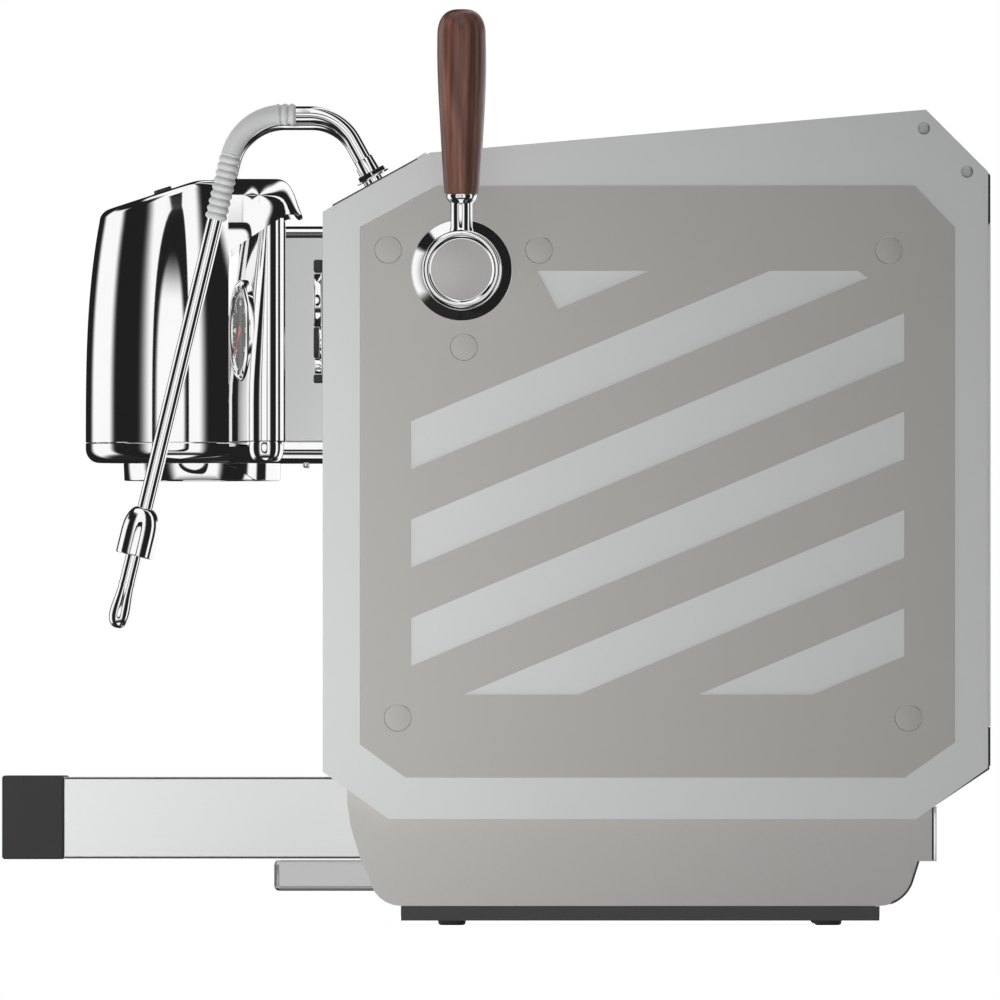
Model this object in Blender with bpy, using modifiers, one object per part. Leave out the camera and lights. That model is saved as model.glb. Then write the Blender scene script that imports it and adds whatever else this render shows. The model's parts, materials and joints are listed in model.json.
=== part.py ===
"""One-group espresso machine, in metres. The front faces -Y, +X is the operator's right and +Z is up.

The body stands between two octagonal side plates on a lower base and two foot rails. The chromed
group head hangs off the front on a short neck, over a drip tray that slides out forwards. A steam
lever and a hot water lever turn on the side plates, and a swivelling wand and a swivelling spout
leave the sloped panel above them.
"""

import math

import bmesh
import bpy
from mathutils import Matrix, Vector

# Clearances and sheet
GAP = 0.0003
SHEET = 0.002

# Body, across the machine
INSET_FACE = 0.190
INSET_THICK = 0.0020
SIDE_FACE = 0.1888
SIDE_INNER = 0.1828
INNER_HALF = 0.1822
FRAME_HALF = 0.1815

# Body, front to back and upwards
FRONT_Y = -0.1052
FRONT_THICK = 0.0046
REAR_PANEL_Y = 0.2988
REAR_Y = 0.3000
BODY_BOTTOM_Z = 0.0644
TOP_RISE = 0.0867
SLOPE_LOW = (-0.1003, 0.4356)
SLOPE_HIGH = (-0.0401, 0.4688)
BASE_BOTTOM_Z = 0.0118
BASE_TOP_Z = 0.0909
SLOPE_FOOT = (FRONT_Y, 0.4329)
SIDE_OUTLINE = [
    (FRONT_Y, 0.0932),
    (-0.0651, BODY_BOTTOM_Z),
    (0.2548, BODY_BOTTOM_Z),
    (0.2985, 0.0955),
    (0.2985, 0.4572),
    (0.2608, 0.4949),
    SLOPE_HIGH,
    SLOPE_FOOT,
]
INSET_OUTLINE = [
    (-0.0547, 0.0900),
    (0.2481, 0.0900),
    (0.2785, 0.1113),
    (0.2785, 0.4232),
    (0.2541, 0.4484),
    (-0.0353, 0.4484),
    (-0.0821, 0.4232),
    (-0.0821, 0.1100),
]

# Slanted windows in the inset panels
WINDOW = [
    (-0.0517, 0.1398),
    (0.2225, 0.1398),
    (0.2475, 0.1623),
    (0.2475, 0.3770),
    (0.2195, 0.3970),
    (-0.0517, 0.3970),
]
FIRST_WINDOW_EDGE = [(0.0371, 0.3739), (0.0249, 0.3970)]
STRIPE_SLOPE = 0.419
STRIPE_HEIGHT = 0.0292
STRIPE_PITCH = 0.0597
STRIPE_COUNT = 6
FIRST_STRIPE_Z = 0.3871

# Levers
LEVER_Y = -0.0209
LEVER_Z = 0.3975
STEM_X = 0.2085
SPINDLE_R = 0.0050
SPINDLE_END_X = 0.1700
HANDLE_FOOT_Z = 0.4435
HANDLE_TOP_Z = 0.5555

# Wand and spout
WAND_X = 0.150
WAND_R = 0.0050
SLOPE_EXIT = (-0.0737, 0.4530)
CROWN_Z = 0.4925
FIRST_BEND_R = 0.030
SECOND_BEND_R = 0.0325
WAND_LEAN = math.radians(13.6)
SLEEVE_START_Y = -0.1222
SLEEVE_END_Z = 0.4285
BELL_TOP_Z = 0.2529
PIPE_END_Z = 0.2080
SPOUT_END_Z = 0.3300

# Group head
GROUP_Y = -0.180
SEAM_Z = 0.2943
HEAD_BOTTOM_Z = 0.2818
HEAD_TOP_Z = 0.4542
NOSE_HALF = 0.058
NOSE_CENTRE_Y = -0.1928
NOSE_REAR_Y = -0.1632
NOSE_WALL = 0.0025
NOSE_LEAN = 0.0090
NOSE_LEAN_Z = 0.4323
NOSE_FRONT_ANGLE = -82
BROW_Y = -0.1842
BROW_Z = 0.4534
NOSE_TOP_Z = 0.4360
NOSE_TOP_Y = -0.2386
WING_HALF = 0.1225
WING_FRONT_Y = -0.1628
WING_ROLL_SHARE = 0.5
WING_TIP_X = 0.1170
WING_TIP_Y = -0.1496
WING_REAR_Y = -0.1293
NECK_HALF = 0.070
HOOD_HALF = 0.126
HOOD_CORNER_R = 0.034
HOOD_CURVE_Y = -0.1530
HOOD_CURVE_REACH = 0.0350
HOOD_CURVE_DEEP = 0.026
RING_R = 0.04725
RING_BOTTOM_Z = 0.2709
GAUGE_X = 0.088
GAUGE_Z = 0.3619
GAUGE_R = 0.0308

# Drip tray
TRAY_FRONT_Y = -0.2621
TRAY_REAR_Y = -0.0500
TRAY_HALF = 0.160
TRAY_BOTTOM_Z = 0.0404
TRAY_TOP_Z = 0.0900
FASCIA_FRONT_Y = -0.3000

# Controls on the front panel
CONTROL_X = 0.135
CONTROL_PROUD_Y = -0.1109

# Local axes: a side outline is (Y, Z) pushed along +X, and a front outline is (X, Z) pushed along -Y
SIDEWAYS = Matrix(((0, 0, 1, 0), (1, 0, 0, 0), (0, 1, 0, 0), (0, 0, 0, 1)))
FORWARDS = Matrix(((1, 0, 0, 0), (0, 0, -1, 0), (0, 1, 0, 0), (0, 0, 0, 1)))


def clear_scene():
    for obj in list(bpy.data.objects):
        bpy.data.objects.remove(obj, do_unlink=True)


clear_scene()
MACHINE = bpy.data.collections.new("espresso_machine")
CUTTERS = bpy.data.collections.new("cutters")
bpy.context.scene.collection.children.link(MACHINE)
bpy.context.scene.collection.children.link(CUTTERS)
CUTTERS.hide_render = True


def finish(name, colour, roughness, metallic=0.0):
    made = bpy.data.materials.new(name)
    made.use_nodes = True
    shader = made.node_tree.nodes["Principled BSDF"]
    shader.inputs["Base Color"].default_value = (*colour, 1.0)
    shader.inputs["Roughness"].default_value = roughness
    shader.inputs["Metallic"].default_value = metallic
    return made


SILVER = finish("silver_panel", (0.56, 0.57, 0.57), 0.42, 0.6)
WARM_GREY = finish("warm_grey_panel", (0.34, 0.335, 0.325), 0.5, 0.4)
BASE_GREY = finish("base_grey", (0.37, 0.365, 0.355), 0.5, 0.4)
CHROME = finish("chrome", (0.85, 0.85, 0.85), 0.06, 1.0)
NECK_GREY = finish("neck_grey", (0.50, 0.51, 0.50), 0.45, 0.4)
TRAY_SILVER = finish("tray_silver", (0.70, 0.71, 0.71), 0.35, 0.7)
BLACK = finish("black_plastic", (0.04, 0.04, 0.04), 0.5)
RAIL_DARK = finish("rail_dark", (0.06, 0.058, 0.06), 0.45, 0.2)
RUBBER = finish("rubber", (0.03, 0.03, 0.03), 0.8)
SILICONE = finish("silicone", (0.54, 0.54, 0.54), 0.6)
WALNUT = finish("walnut", (0.13, 0.055, 0.035), 0.45)
DIAL = finish("dial_black", (0.05, 0.05, 0.05), 0.4)
NEEDLE = finish("needle_red", (0.6, 0.05, 0.04), 0.4)
STEEL = finish("steel", (0.6, 0.6, 0.6), 0.3, 1.0)
BRASS = finish("brass", (0.70, 0.52, 0.25), 0.3, 1.0)


def add_object(name, mesh, material, collection=MACHINE):
    obj = bpy.data.objects.new(name, mesh)
    collection.objects.link(obj)
    if material:
        obj.data.materials.append(material)
    if collection is CUTTERS:
        obj.hide_render = True
        obj.display_type = "WIRE"
    return obj


def mesh_of(form, name):
    bmesh.ops.remove_doubles(form, verts=form.verts, dist=1e-6)
    bmesh.ops.recalc_face_normals(form, faces=form.faces)
    mesh = bpy.data.meshes.new(name)
    form.to_mesh(mesh)
    form.free()
    return mesh


def block(name, low, high):
    """A box mesh between two corners."""
    form = bmesh.new()
    bmesh.ops.create_cube(form, size=1.0)
    low, high = Vector(low), Vector(high)
    scale = Matrix.Diagonal((*(high - low), 1.0))
    bmesh.ops.transform(form, matrix=Matrix.Translation((low + high) / 2) @ scale, verts=form.verts)
    return mesh_of(form, name)


def slab(name, outlines, low, high, axes):
    """A mesh of a flat outline, with holes, pushed from low to high along the third of its axes."""
    curve = bpy.data.curves.new(name, "CURVE")
    curve.dimensions = "2D"
    curve.fill_mode = "BOTH"
    curve.extrude = (high - low) / 2
    for outline in outlines:
        spline = curve.splines.new("POLY")
        spline.points.add(len(outline) - 1)
        for point, (u, v) in zip(spline.points, outline):
            point.co = (u, v, 0, 1)
        spline.use_cyclic_u = True
    holder = bpy.data.objects.new(name, curve)
    flat = bpy.data.meshes.new_from_object(holder)
    bpy.data.objects.remove(holder)
    form = bmesh.new()
    form.from_mesh(flat)
    lift = Matrix.Translation((0, 0, (low + high) / 2))
    bmesh.ops.transform(form, matrix=axes @ lift, verts=form.verts)
    return mesh_of(form, name)


def loft(name, rings, closed=False):
    """A mesh skinned through rings of points; each end is capped by strips across the ring."""
    form = bmesh.new()
    rows = [[form.verts.new(point) for point in ring] for ring in rings]
    joined = list(zip(rows, rows[1:]))
    if closed:
        joined.append((rows[-1], rows[0]))
    for lower, upper in joined:
        for index in range(len(lower)):
            other = (index + 1) % len(lower)
            form.faces.new((lower[index], lower[other], upper[other], upper[index]))
    if not closed:
        for row in (rows[0], rows[-1]):
            for index in range(len(row) // 2 - 1):
                form.faces.new((row[index], row[index + 1], row[-index - 2], row[-index - 1]))
    return mesh_of(form, name)


def turned(name, profile, material, place, steps=24, ring=False, collection=MACHINE):
    """A turned piece: (radius, height) points run down its outer side, about local +Z."""
    form = bmesh.new()
    points = [form.verts.new((radius, 0, height)) for radius, height in profile]
    for first, second in zip(points, points[1:]):
        form.edges.new((first, second))
    if ring:
        form.edges.new((points[-1], points[0]))
    mesh = bpy.data.meshes.new(name)
    form.to_mesh(mesh)
    form.free()
    obj = add_object(name, mesh, material, collection)
    obj.matrix_world = place
    screw = obj.modifiers.new("turn", "SCREW")
    screw.steps = steps
    screw.render_steps = steps
    screw.use_merge_vertices = True
    screw.merge_threshold = 0.00001
    return obj


def combine(obj, other, operation):
    boolean = obj.modifiers.new(operation.lower(), "BOOLEAN")
    boolean.operation = operation
    boolean.solver = "EXACT"
    boolean.use_self = True
    boolean.object = other
    return obj


def cut(obj, mesh):
    return combine(obj, add_object(mesh.name, mesh, None, CUTTERS), "DIFFERENCE")


def fuse(obj, mesh):
    return combine(obj, add_object(mesh.name, mesh, None, CUTTERS), "UNION")


def cylinder(name, radius, start, end, sides=32):
    """A cylinder mesh between two points."""
    start, end = Vector(start), Vector(end)
    form = bmesh.new()
    bmesh.ops.create_cone(
        form,
        cap_ends=True,
        segments=sides,
        radius1=radius,
        radius2=radius,
        depth=(end - start).length,
    )
    turn = (end - start).to_track_quat("Z", "Y").to_matrix().to_4x4()
    bmesh.ops.transform(form, matrix=Matrix.Translation((start + end) / 2) @ turn, verts=form.verts)
    return mesh_of(form, name)


def bevel(obj, width, segments=2, angle=40):
    rounding = obj.modifiers.new("round", "BEVEL")
    rounding.width = width
    rounding.segments = segments
    rounding.limit_method = "ANGLE"
    rounding.angle_limit = math.radians(angle)
    return obj


def hang_parent(pieces, pivot, name):
    """Turned pieces whose joint is elsewhere hang on an empty that stands on its axis."""
    hook = bpy.data.objects.new(name, None)
    MACHINE.objects.link(hook)
    hook.location = pivot
    for piece in pieces:
        piece.parent = hook
        piece.matrix_parent_inverse = Matrix.Translation(-Vector(pivot))


def hang_on(obj, pivot):
    """Moves the origin to a point on the joint's axis, and leaves the shape where it is."""
    obj.data.transform(Matrix.Translation(-Vector(pivot)))
    obj.location = pivot
    return obj


def arc(centre, radius, start, end, steps):
    """Points on an arc, with its angles in degrees."""
    points = []
    for step in range(steps + 1):
        angle = math.radians(start + (end - start) * step / steps)
        points.append((centre[0] + radius * math.cos(angle), centre[1] + radius * math.sin(angle)))
    return points


def inset(outline, distance):
    """An anticlockwise outline moved inwards, or outwards where the distance is negative."""
    moved = []
    count = len(outline)
    for index in range(count):
        before, here, after = (Vector(outline[(index + step) % count]) for step in (-1, 0, 1))
        first = (here - before).normalized()
        second = (after - here).normalized()
        inward = Vector((-first.y - second.y, first.x + second.x)).normalized()
        reach = distance / inward.dot(Vector((-first.y, first.x)))
        moved.append(tuple(here + inward * reach))
    return moved


def clipped(outline, start, end):
    """The part of an outline that lies to the left of the line from start to end."""
    start, along = Vector(start), Vector(end) - Vector(start)
    kept = []
    for index, point in enumerate(outline):
        here, after = Vector(point), Vector(outline[(index + 1) % len(outline)])
        side, next_side = along.cross(here - start), along.cross(after - start)
        if side >= 0:
            kept.append(tuple(here))
        if side * next_side < 0:
            kept.append(tuple(here.lerp(after, side / (side - next_side))))
    return kept


def mirrored(profile):
    """A half outline, given up one side, closed by its mirror image."""
    return profile + [(-u, v) for u, v in reversed(profile)]


def circle(centre, radius, sides=24):
    return arc(centre, radius, 0, 360 - 360 / sides, sides - 1)


def box_outline(low_u, low_v, high_u, high_v):
    return [(low_u, low_v), (high_u, low_v), (high_u, high_v), (low_u, high_v)]


# ---------------------------------------------------------------- base, frame and panels


def base_outline():
    front_corner = arc((-0.0578, BASE_BOTTOM_Z + 0.019), 0.019, 187, 270, 6)
    rear_corner = arc((0.2325, BASE_BOTTOM_Z + 0.0215), 0.0215, 270, 341, 7)
    front = [(-0.0906, BASE_TOP_Z), (-0.0902, 0.0742), (-0.0882, 0.0602), (-0.0824, 0.0407)]
    rear = [(0.2568, 0.0389), (0.2645, 0.0389), (0.2645, BASE_TOP_Z)]
    return front + front_corner + rear_corner + rear


def make_base():
    outline = base_outline()
    shell = add_object(
        "base_shell", slab("base_shell", [outline], -0.1825, 0.1825, SIDEWAYS), BASE_GREY
    )
    hollow = inset(outline, SHEET)
    hollow[0] = (hollow[0][0], BASE_TOP_Z + 0.01)
    hollow[-1] = (hollow[-1][0], BASE_TOP_Z + 0.01)
    half = 0.1825 - SHEET
    cut(shell, slab("base_hollow", [hollow], -half, half, SIDEWAYS))
    tray_way = TRAY_HALF + 0.0008
    cut(shell, block("tray_way", (-tray_way, -0.12, 0.0396), (tray_way, -0.06, 0.12)))
    cut(shell, block("drain_way", (-0.1006, -0.12, 0.0200), (0.1006, -0.07, 0.0400)))
    cut(shell, block("inlet_way", (-0.1216, 0.25, 0.0445), (-0.0784, 0.28, 0.0697)))


def make_chassis():
    """Square-section frame with a floor sheet: a block cut through along all three axes."""
    low = Vector((-FRAME_HALF, -0.0985, BASE_TOP_Z + GAP))
    high = Vector((FRAME_HALF, 0.2640, 0.4250))
    rail = 0.014
    frame = add_object("chassis_frame", block("chassis_frame", low, high), STEEL)
    past = Vector((0.02, 0.02, 0.02))
    for axis, name in enumerate(("frame_bay_x", "frame_bay_y", "frame_bay_z")):
        bay_low = low + Vector((rail, rail, rail))
        bay_high = high - Vector((rail, rail, rail))
        bay_low[axis] = (low - past)[axis]
        bay_high[axis] = (high + past)[axis]
        if axis == 2:
            bay_low.z = low.z + SHEET
        cut(frame, block(name, bay_low, bay_high))


def make_side(side, suffix):
    """The silver octagonal plate, pocketed for the warm grey inset panel."""
    spindle = circle((LEVER_Y, LEVER_Z), SPINDLE_R + 0.0008)
    low, high = sorted((side * SIDE_INNER, side * SIDE_FACE))
    plate = add_object(
        "side_plate_" + suffix,
        slab("side_plate_" + suffix, [SIDE_OUTLINE, spindle], low, high, SIDEWAYS),
        SILVER,
    )
    pocket_floor = side * (INSET_FACE - INSET_THICK - GAP)
    low, high = sorted((pocket_floor, side * (SIDE_FACE + 0.01)))
    pocket = inset(INSET_OUTLINE, -GAP)
    cut(plate, slab("inset_pocket_" + suffix, [pocket], low, high, SIDEWAYS))
    low, high = sorted((side * (INSET_FACE - INSET_THICK), side * INSET_FACE))
    add_object(
        "inset_panel_" + suffix,
        slab(
            "inset_panel_" + suffix, [INSET_OUTLINE, spindle] + windows(), low, high, SIDEWAYS
        ),
        WARM_GREY,
    )


def windows():
    """The slanted cut-outs: parallel bands clipped to one window outline."""
    bands = []
    for index in range(STRIPE_COUNT):
        top = FIRST_STRIPE_Z - STRIPE_PITCH * index
        rise = STRIPE_SLOPE
        upper = [(1.0, top + rise), (-1.0, top - rise)]
        lower = [(-1.0, top - STRIPE_HEIGHT - rise), (1.0, top - STRIPE_HEIGHT + rise)]
        band = clipped(clipped(WINDOW, *upper), *lower)
        if index == 0:
            band = clipped(band, FIRST_WINDOW_EDGE[1], FIRST_WINDOW_EDGE[0])
        bands.append(band)
    return bands


def make_front_panel():
    rear = FRONT_Y + FRONT_THICK
    outline = [
        (FRONT_Y, 0.0948),
        (rear, 0.0948),
        (rear, SLOPE_LOW[1] - 0.0004),
        SLOPE_FOOT,
    ]
    panel = add_object(
        "front_panel", slab("front_panel", [outline], -INNER_HALF, INNER_HALF, SIDEWAYS), SILVER
    )
    cut(panel, block("neck_way", (-0.050, -0.12, 0.305), (0.050, -0.09, 0.400)))


def slope_frame():
    """The slope's direction uphill and its outward normal, as (Y, Z) vectors."""
    uphill = (Vector(SLOPE_HIGH) - Vector(SLOPE_LOW)).normalized()
    return uphill, Vector((-uphill.y, uphill.x))


def make_slope_panel():
    uphill, normal = slope_frame()
    foot, thickness, proud = Vector(SLOPE_LOW), 0.003, 0.001
    start, end = foot + uphill * 0.0014, foot + uphill * 0.0667
    outline = [
        tuple(start - normal * thickness),
        tuple(end - normal * thickness),
        tuple(end + normal * proud),
        tuple(start + normal * proud),
    ]
    panel = add_object(
        "slope_panel", slab("slope_panel", [outline], -INNER_HALF, INNER_HALF, SIDEWAYS), BLACK
    )
    for side in (1, -1):
        exit_point = Vector((side * WAND_X, *SLOPE_EXIT))
        along = Vector((0, *normal)) * 0.02
        cut(
            panel,
            cylinder("pipe_way", WAND_R + 0.001, exit_point - along, exit_point + along, 24),
        )


def make_top_panel():
    """The cup-warming deck: a slotted sheet a little below the side plates' top edges."""
    slots = []
    slot_length, slot_width, columns, rows = 0.070, 0.008, 4, 8
    for column in range(columns):
        for row in range(rows):
            middle_x = (column - (columns - 1) / 2) * 0.084
            middle_y = 0.110 + (row - (rows - 1) / 2) * 0.032
            slots.append(
                box_outline(
                    middle_x - slot_length / 2,
                    middle_y - slot_width / 2,
                    middle_x + slot_length / 2,
                    middle_y + slot_width / 2,
                )
            )
    deck = box_outline(-INNER_HALF, -0.0350, INNER_HALF, 0.2580)
    mesh = slab("top_panel", [deck] + slots, -SHEET, 0.0, Matrix())
    drop = 0.006
    height = SLOPE_HIGH[1] - SLOPE_HIGH[0] * TOP_RISE - drop
    tilt = Matrix(((1, 0, 0, 0), (0, 1, 0, 0), (0, TOP_RISE, 1, height), (0, 0, 0, 1)))
    mesh.transform(tilt)
    add_object("top_panel", mesh, SILVER)


def make_rear():
    vents = []
    for row in range(9):
        for middle in (-0.075, 0.075):
            low_z = 0.300 + row * 0.012
            vents.append(box_outline(middle - 0.055, low_z, middle + 0.055, low_z + 0.005))
    plate = box_outline(-SIDE_FACE, 0.1207, SIDE_FACE, 0.4254)
    add_object(
        "rear_panel",
        slab("rear_panel", [plate] + vents, -REAR_Y, -REAR_PANEL_Y, FORWARDS),
        SILVER,
    )
    upper = [
        (REAR_PANEL_Y, 0.4257),
        (REAR_Y, 0.4257),
        (REAR_Y, 0.4552),
        (0.2612, 0.4940),
        (0.2591, 0.4940),
        (REAR_PANEL_Y, 0.4543),
    ]
    lower = [
        (REAR_PANEL_Y, 0.1204),
        (REAR_PANEL_Y, 0.0980),
        (0.2680, 0.0761),
        (0.2680, 0.0742),
        (REAR_Y, 0.0970),
        (REAR_Y, 0.1204),
    ]
    for name, outline in (("rear_trim_top", upper), ("rear_trim_bottom", lower)):
        add_object(name, slab(name, [outline], -INNER_HALF, INNER_HALF, SIDEWAYS), BLACK)


def make_feet():
    rail_low, rail_high = 0.0027, BASE_BOTTOM_Z - GAP
    rail_front, rail_rear, rail_x, rail_half = -0.0578, 0.2329, 0.150, 0.010
    foot_stations = {"front": -0.0268, "rear": 0.2015}
    for side, suffix in ((1, "right"), (-1, "left")):
        rail = add_object(
            "foot_rail_" + suffix,
            block(
                "foot_rail_" + suffix,
                (side * rail_x - rail_half, rail_front, rail_low),
                (side * rail_x + rail_half, rail_rear, rail_high),
            ),
            RAIL_DARK,
        )
        for place, foot_y in foot_stations.items():
            seat = (side * rail_x, foot_y)
            cut(rail, cylinder("stud_way", 0.0036, (*seat, 0.0), (*seat, 0.0085), 20))
            profile = [
                (0.0, 0.0080),
                (0.0030, 0.0080),
                (0.0030, 0.0024),
                (0.0076, 0.0024),
                (0.0084, 0.0016),
                (0.0084, 0.0),
                (0.0, 0.0),
            ]
            turned(
                "foot_" + place + "_" + suffix,
                profile,
                RUBBER,
                Matrix.Translation((*seat, 0.0)),
                20,
            )


# ---------------------------------------------------------------- drip tray


def make_tray():
    low = Vector((-TRAY_HALF, TRAY_FRONT_Y, TRAY_BOTTOM_Z))
    high = Vector((TRAY_HALF, TRAY_REAR_Y, TRAY_TOP_Z))
    body = add_object("tray_body", block("tray_body", low, high), TRAY_SILVER)
    wall = Vector((SHEET, SHEET, 0))
    floor = Vector((0, 0, SHEET))
    cut(body, block("tray_hollow", low + wall + floor, high - wall + Vector((0, 0, 0.01))))

    step = Vector((GAP, GAP, 0))
    low += wall + floor + step + Vector((0, 0, GAP))
    high = high - wall - step - Vector((0, 0, 0.0041))
    pan = add_object("tray_pan", block("tray_pan", low, high), BLACK)
    wall = Vector((0.0015, 0.0015, 0))
    floor = Vector((0, 0, 0.0015))
    cut(pan, block("pan_hollow", low + wall + floor, high - wall + Vector((0, 0, 0.01))))

    fascia = add_object(
        "tray_fascia",
        block(
            "tray_fascia",
            (-TRAY_HALF, FASCIA_FRONT_Y, 0.0401),
            (TRAY_HALF, TRAY_FRONT_Y - GAP, 0.0909),
        ),
        BLACK,
    )
    bevel(fascia, 0.0012, 2)
    cut(
        fascia,
        block(
            "fascia_hollow",
            (-TRAY_HALF + 0.003, FASCIA_FRONT_Y + 0.004, 0.0431),
            (TRAY_HALF - 0.003, TRAY_FRONT_Y + 0.01, 0.0879),
        ),
    )
    pivot = (0, TRAY_FRONT_Y, TRAY_BOTTOM_Z)
    for piece in (body, pan, fascia):
        hang_on(piece, pivot)
        for modifier in piece.modifiers:
            if modifier.type == "BOOLEAN" and modifier.object.location.length == 0:
                hang_on(modifier.object, pivot)
    make_grate()


def make_grate():
    bars = []
    slot_width, pitch, count = 0.0065, 0.0130, 23
    front, rear = TRAY_FRONT_Y + 0.0028, -0.1085
    middle = (front + rear) / 2
    for index in range(count):
        low_x = (index - (count - 1) / 2) * pitch - slot_width / 2
        bars.append(box_outline(low_x, front + 0.006, low_x + slot_width, rear - 0.006))
    rim = box_outline(-TRAY_HALF + 0.0026, front, TRAY_HALF - 0.0026, rear)
    grate_low = TRAY_TOP_Z - 0.0038
    mesh = slab("tray_grate", [rim] + bars, grate_low, grate_low + 0.003, Matrix())
    hang_on(add_object("tray_grate", mesh, STEEL), (0, middle, grate_low))


def make_drain_box():
    low, high = Vector((-0.100, -0.1350, 0.0207)), Vector((0.100, -0.0600, 0.0396))
    box = add_object("drain_box", block("drain_box", low, high), STEEL)
    bevel(box, 0.003, 3)
    wall = Vector((0.0015, 0.0015, 0))
    floor = Vector((0, 0, 0.0015))
    cut(box, block("drain_hollow", low + wall + floor, high - wall + Vector((0, 0, 0.01))))


# ---------------------------------------------------------------- group head


def nose_angle(radius, y):
    """Angle in degrees of the point on the nose's circle at a given Y."""
    return math.degrees(math.asin((y - NOSE_CENTRE_Y) / radius))


def wing_plan():
    """Half of the wing's plan on the +X side, from the middle of its rear to the nose."""
    root = nose_angle(NOSE_HALF, WING_FRONT_Y)
    return [
        (0.1165, WING_REAR_Y + 0.0004),
        (0.1210, -0.1325),
        (WING_HALF, -0.1395),
        (0.1212, -0.1470),
        (WING_TIP_X, WING_TIP_Y),
        (NOSE_HALF * math.cos(math.radians(root)), WING_FRONT_Y),
    ]


def head_plan(depth):
    """The head's whole plan, anticlockwise and moved in by a depth."""
    wing = inset(mirrored(wing_plan())[::-1], depth * WING_ROLL_SHARE)[::-1]
    half = NECK_HALF - depth
    neck = [(half, FRONT_Y - GAP), (half, wing[0][1])]
    radius = NOSE_HALF - depth
    first = nose_angle(radius, WING_FRONT_Y)
    nose = arc((0, NOSE_CENTRE_Y), radius, first, NOSE_FRONT_ANGLE, 12)
    return mirrored(neck + wing[: len(wing) // 2 - 1] + nose)[::-1]


def make_head_base():
    bottom, top = HEAD_BOTTOM_Z, SEAM_Z - GAP
    roll = [(0.0080, 0.0), (0.0036, 0.0014), (0.0012, 0.0040), (0.0, 0.0085)]
    rings = [[(x, y, bottom + rise) for x, y in head_plan(depth)] for depth, rise in roll]
    rings.append([(x, y, top) for x, y in head_plan(0.0)])
    base = add_object("head_base", loft("head_base", rings), CHROME)
    bore = (0, GROUP_Y)
    cut(base, cylinder("group_bore", 0.0367, (*bore, 0.27), (*bore, 0.31)))


def roof_z(y):
    """Height of the head's top above a point on its centre line."""
    if y >= BROW_Y:
        return BROW_Z + (HEAD_TOP_Z - BROW_Z) * min(1.0, (y - BROW_Y) / 0.006)
    return BROW_Z + (y - BROW_Y) * (BROW_Z - NOSE_TOP_Z) / (BROW_Y - NOSE_TOP_Y)


def nose_lean(z):
    """How far the spun wall of the nose has come in at a height."""
    return NOSE_LEAN * ((z - SEAM_Z) / (NOSE_LEAN_Z - SEAM_Z)) ** 3


def nose_rings(wall, bottom, rear, edge_radius):
    """Rings up the nose: a spun wall that leans in more and more, a soft edge, and a sloped top."""
    half = NOSE_HALF - wall
    first = nose_angle(half, NOSE_REAR_Y)
    spokes = arc((0, 0), 1.0, first, NOSE_FRONT_ANGLE, 12)
    wall_levels = [(share, 0.0, edge_radius) for share in (0.0, 0.40, 0.62, 0.82, 1.0)]
    edge_levels = []
    for step in range(1, 4):
        angle = math.radians(30 * step)
        depth = edge_radius * (1 - math.cos(angle))
        edge_levels.append((1.0, depth, edge_radius * (1 - math.sin(angle))))
    rings = []
    for share, depth, drop in wall_levels + edge_levels:
        ring = []
        for u, v in spokes:
            top = roof_z(NOSE_CENTRE_Y + (half - NOSE_LEAN - depth) * v) - wall
            z = bottom + (top - drop - bottom) * share
            radius = half - depth - nose_lean(min(z, top - edge_radius) if share else SEAM_Z)
            ring.append((radius * u, NOSE_CENTRE_Y + radius * v, z))
        ring[0] = (ring[0][0], rear, ring[0][2])
        rings.append(ring + [(-x, y, z) for x, y, z in reversed(ring)])
    return rings


def button_place():
    """Local axes on the nose's sloped top: X across, Y up the slope and Z outwards."""
    uphill = Vector((0, BROW_Y - NOSE_TOP_Y, BROW_Z - NOSE_TOP_Z)).normalized()
    normal = Vector((1, 0, 0)).cross(uphill)
    middle_y = -0.2033
    origin = Vector((0, middle_y, roof_z(middle_y)))
    axes = Matrix((Vector((1, 0, 0)), uphill, normal)).transposed().to_4x4()
    return Matrix.Translation(origin) @ axes


def stadium(length, width, sides=8):
    reach = (length - width) / 2
    right = arc((reach, 0), width / 2, -90, 90, sides)
    left = arc((-reach, 0), width / 2, 90, 270, sides)
    return right + left


def make_nose():
    cover = add_object(
        "group_cover", loft("group_cover", nose_rings(0.0, SEAM_Z, NOSE_REAR_Y, 0.006)), CHROME
    )
    hollow = nose_rings(NOSE_WALL, SEAM_Z - 0.01, NOSE_REAR_Y + 0.01, 0.004)
    cut(cover, loft("nose_hollow", hollow))
    place = button_place()
    cut(cover, slab("button_way", [stadium(0.0246, 0.0116)], -0.02, 0.02, place))
    mesh = slab("brew_button", [stadium(0.024, 0.011)], -0.0060, 0.0023, place)
    hang_on(add_object("brew_button", mesh, BLACK), place.translation)


def gauge_place(side):
    root, tip = (Vector((*point, 0)) for point in wing_plan()[:-3:-1])
    along = (tip - root).normalized()
    normal = Vector((along.y * side, -along.x, 0))
    surface_y = root.y + along.y * (GAUGE_X - root.x) / along.x
    turn = normal.to_track_quat("Z", "Y").to_matrix().to_4x4()
    return Matrix.Translation((side * GAUGE_X, surface_y, GAUGE_Z)) @ turn


def wing_outline(wall):
    """The wing seen from the front, just wide enough to leave its sides alone."""
    half, top, radius = WING_HALF + 0.001 - wall, 0.431 - wall, 0.021 - wall
    corner = arc((half - radius, top - radius), radius, 0, 90, 6)
    return [(-half, 0.28), (half, 0.28)] + corner + [(-x, z) for x, z in reversed(corner)]


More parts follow.
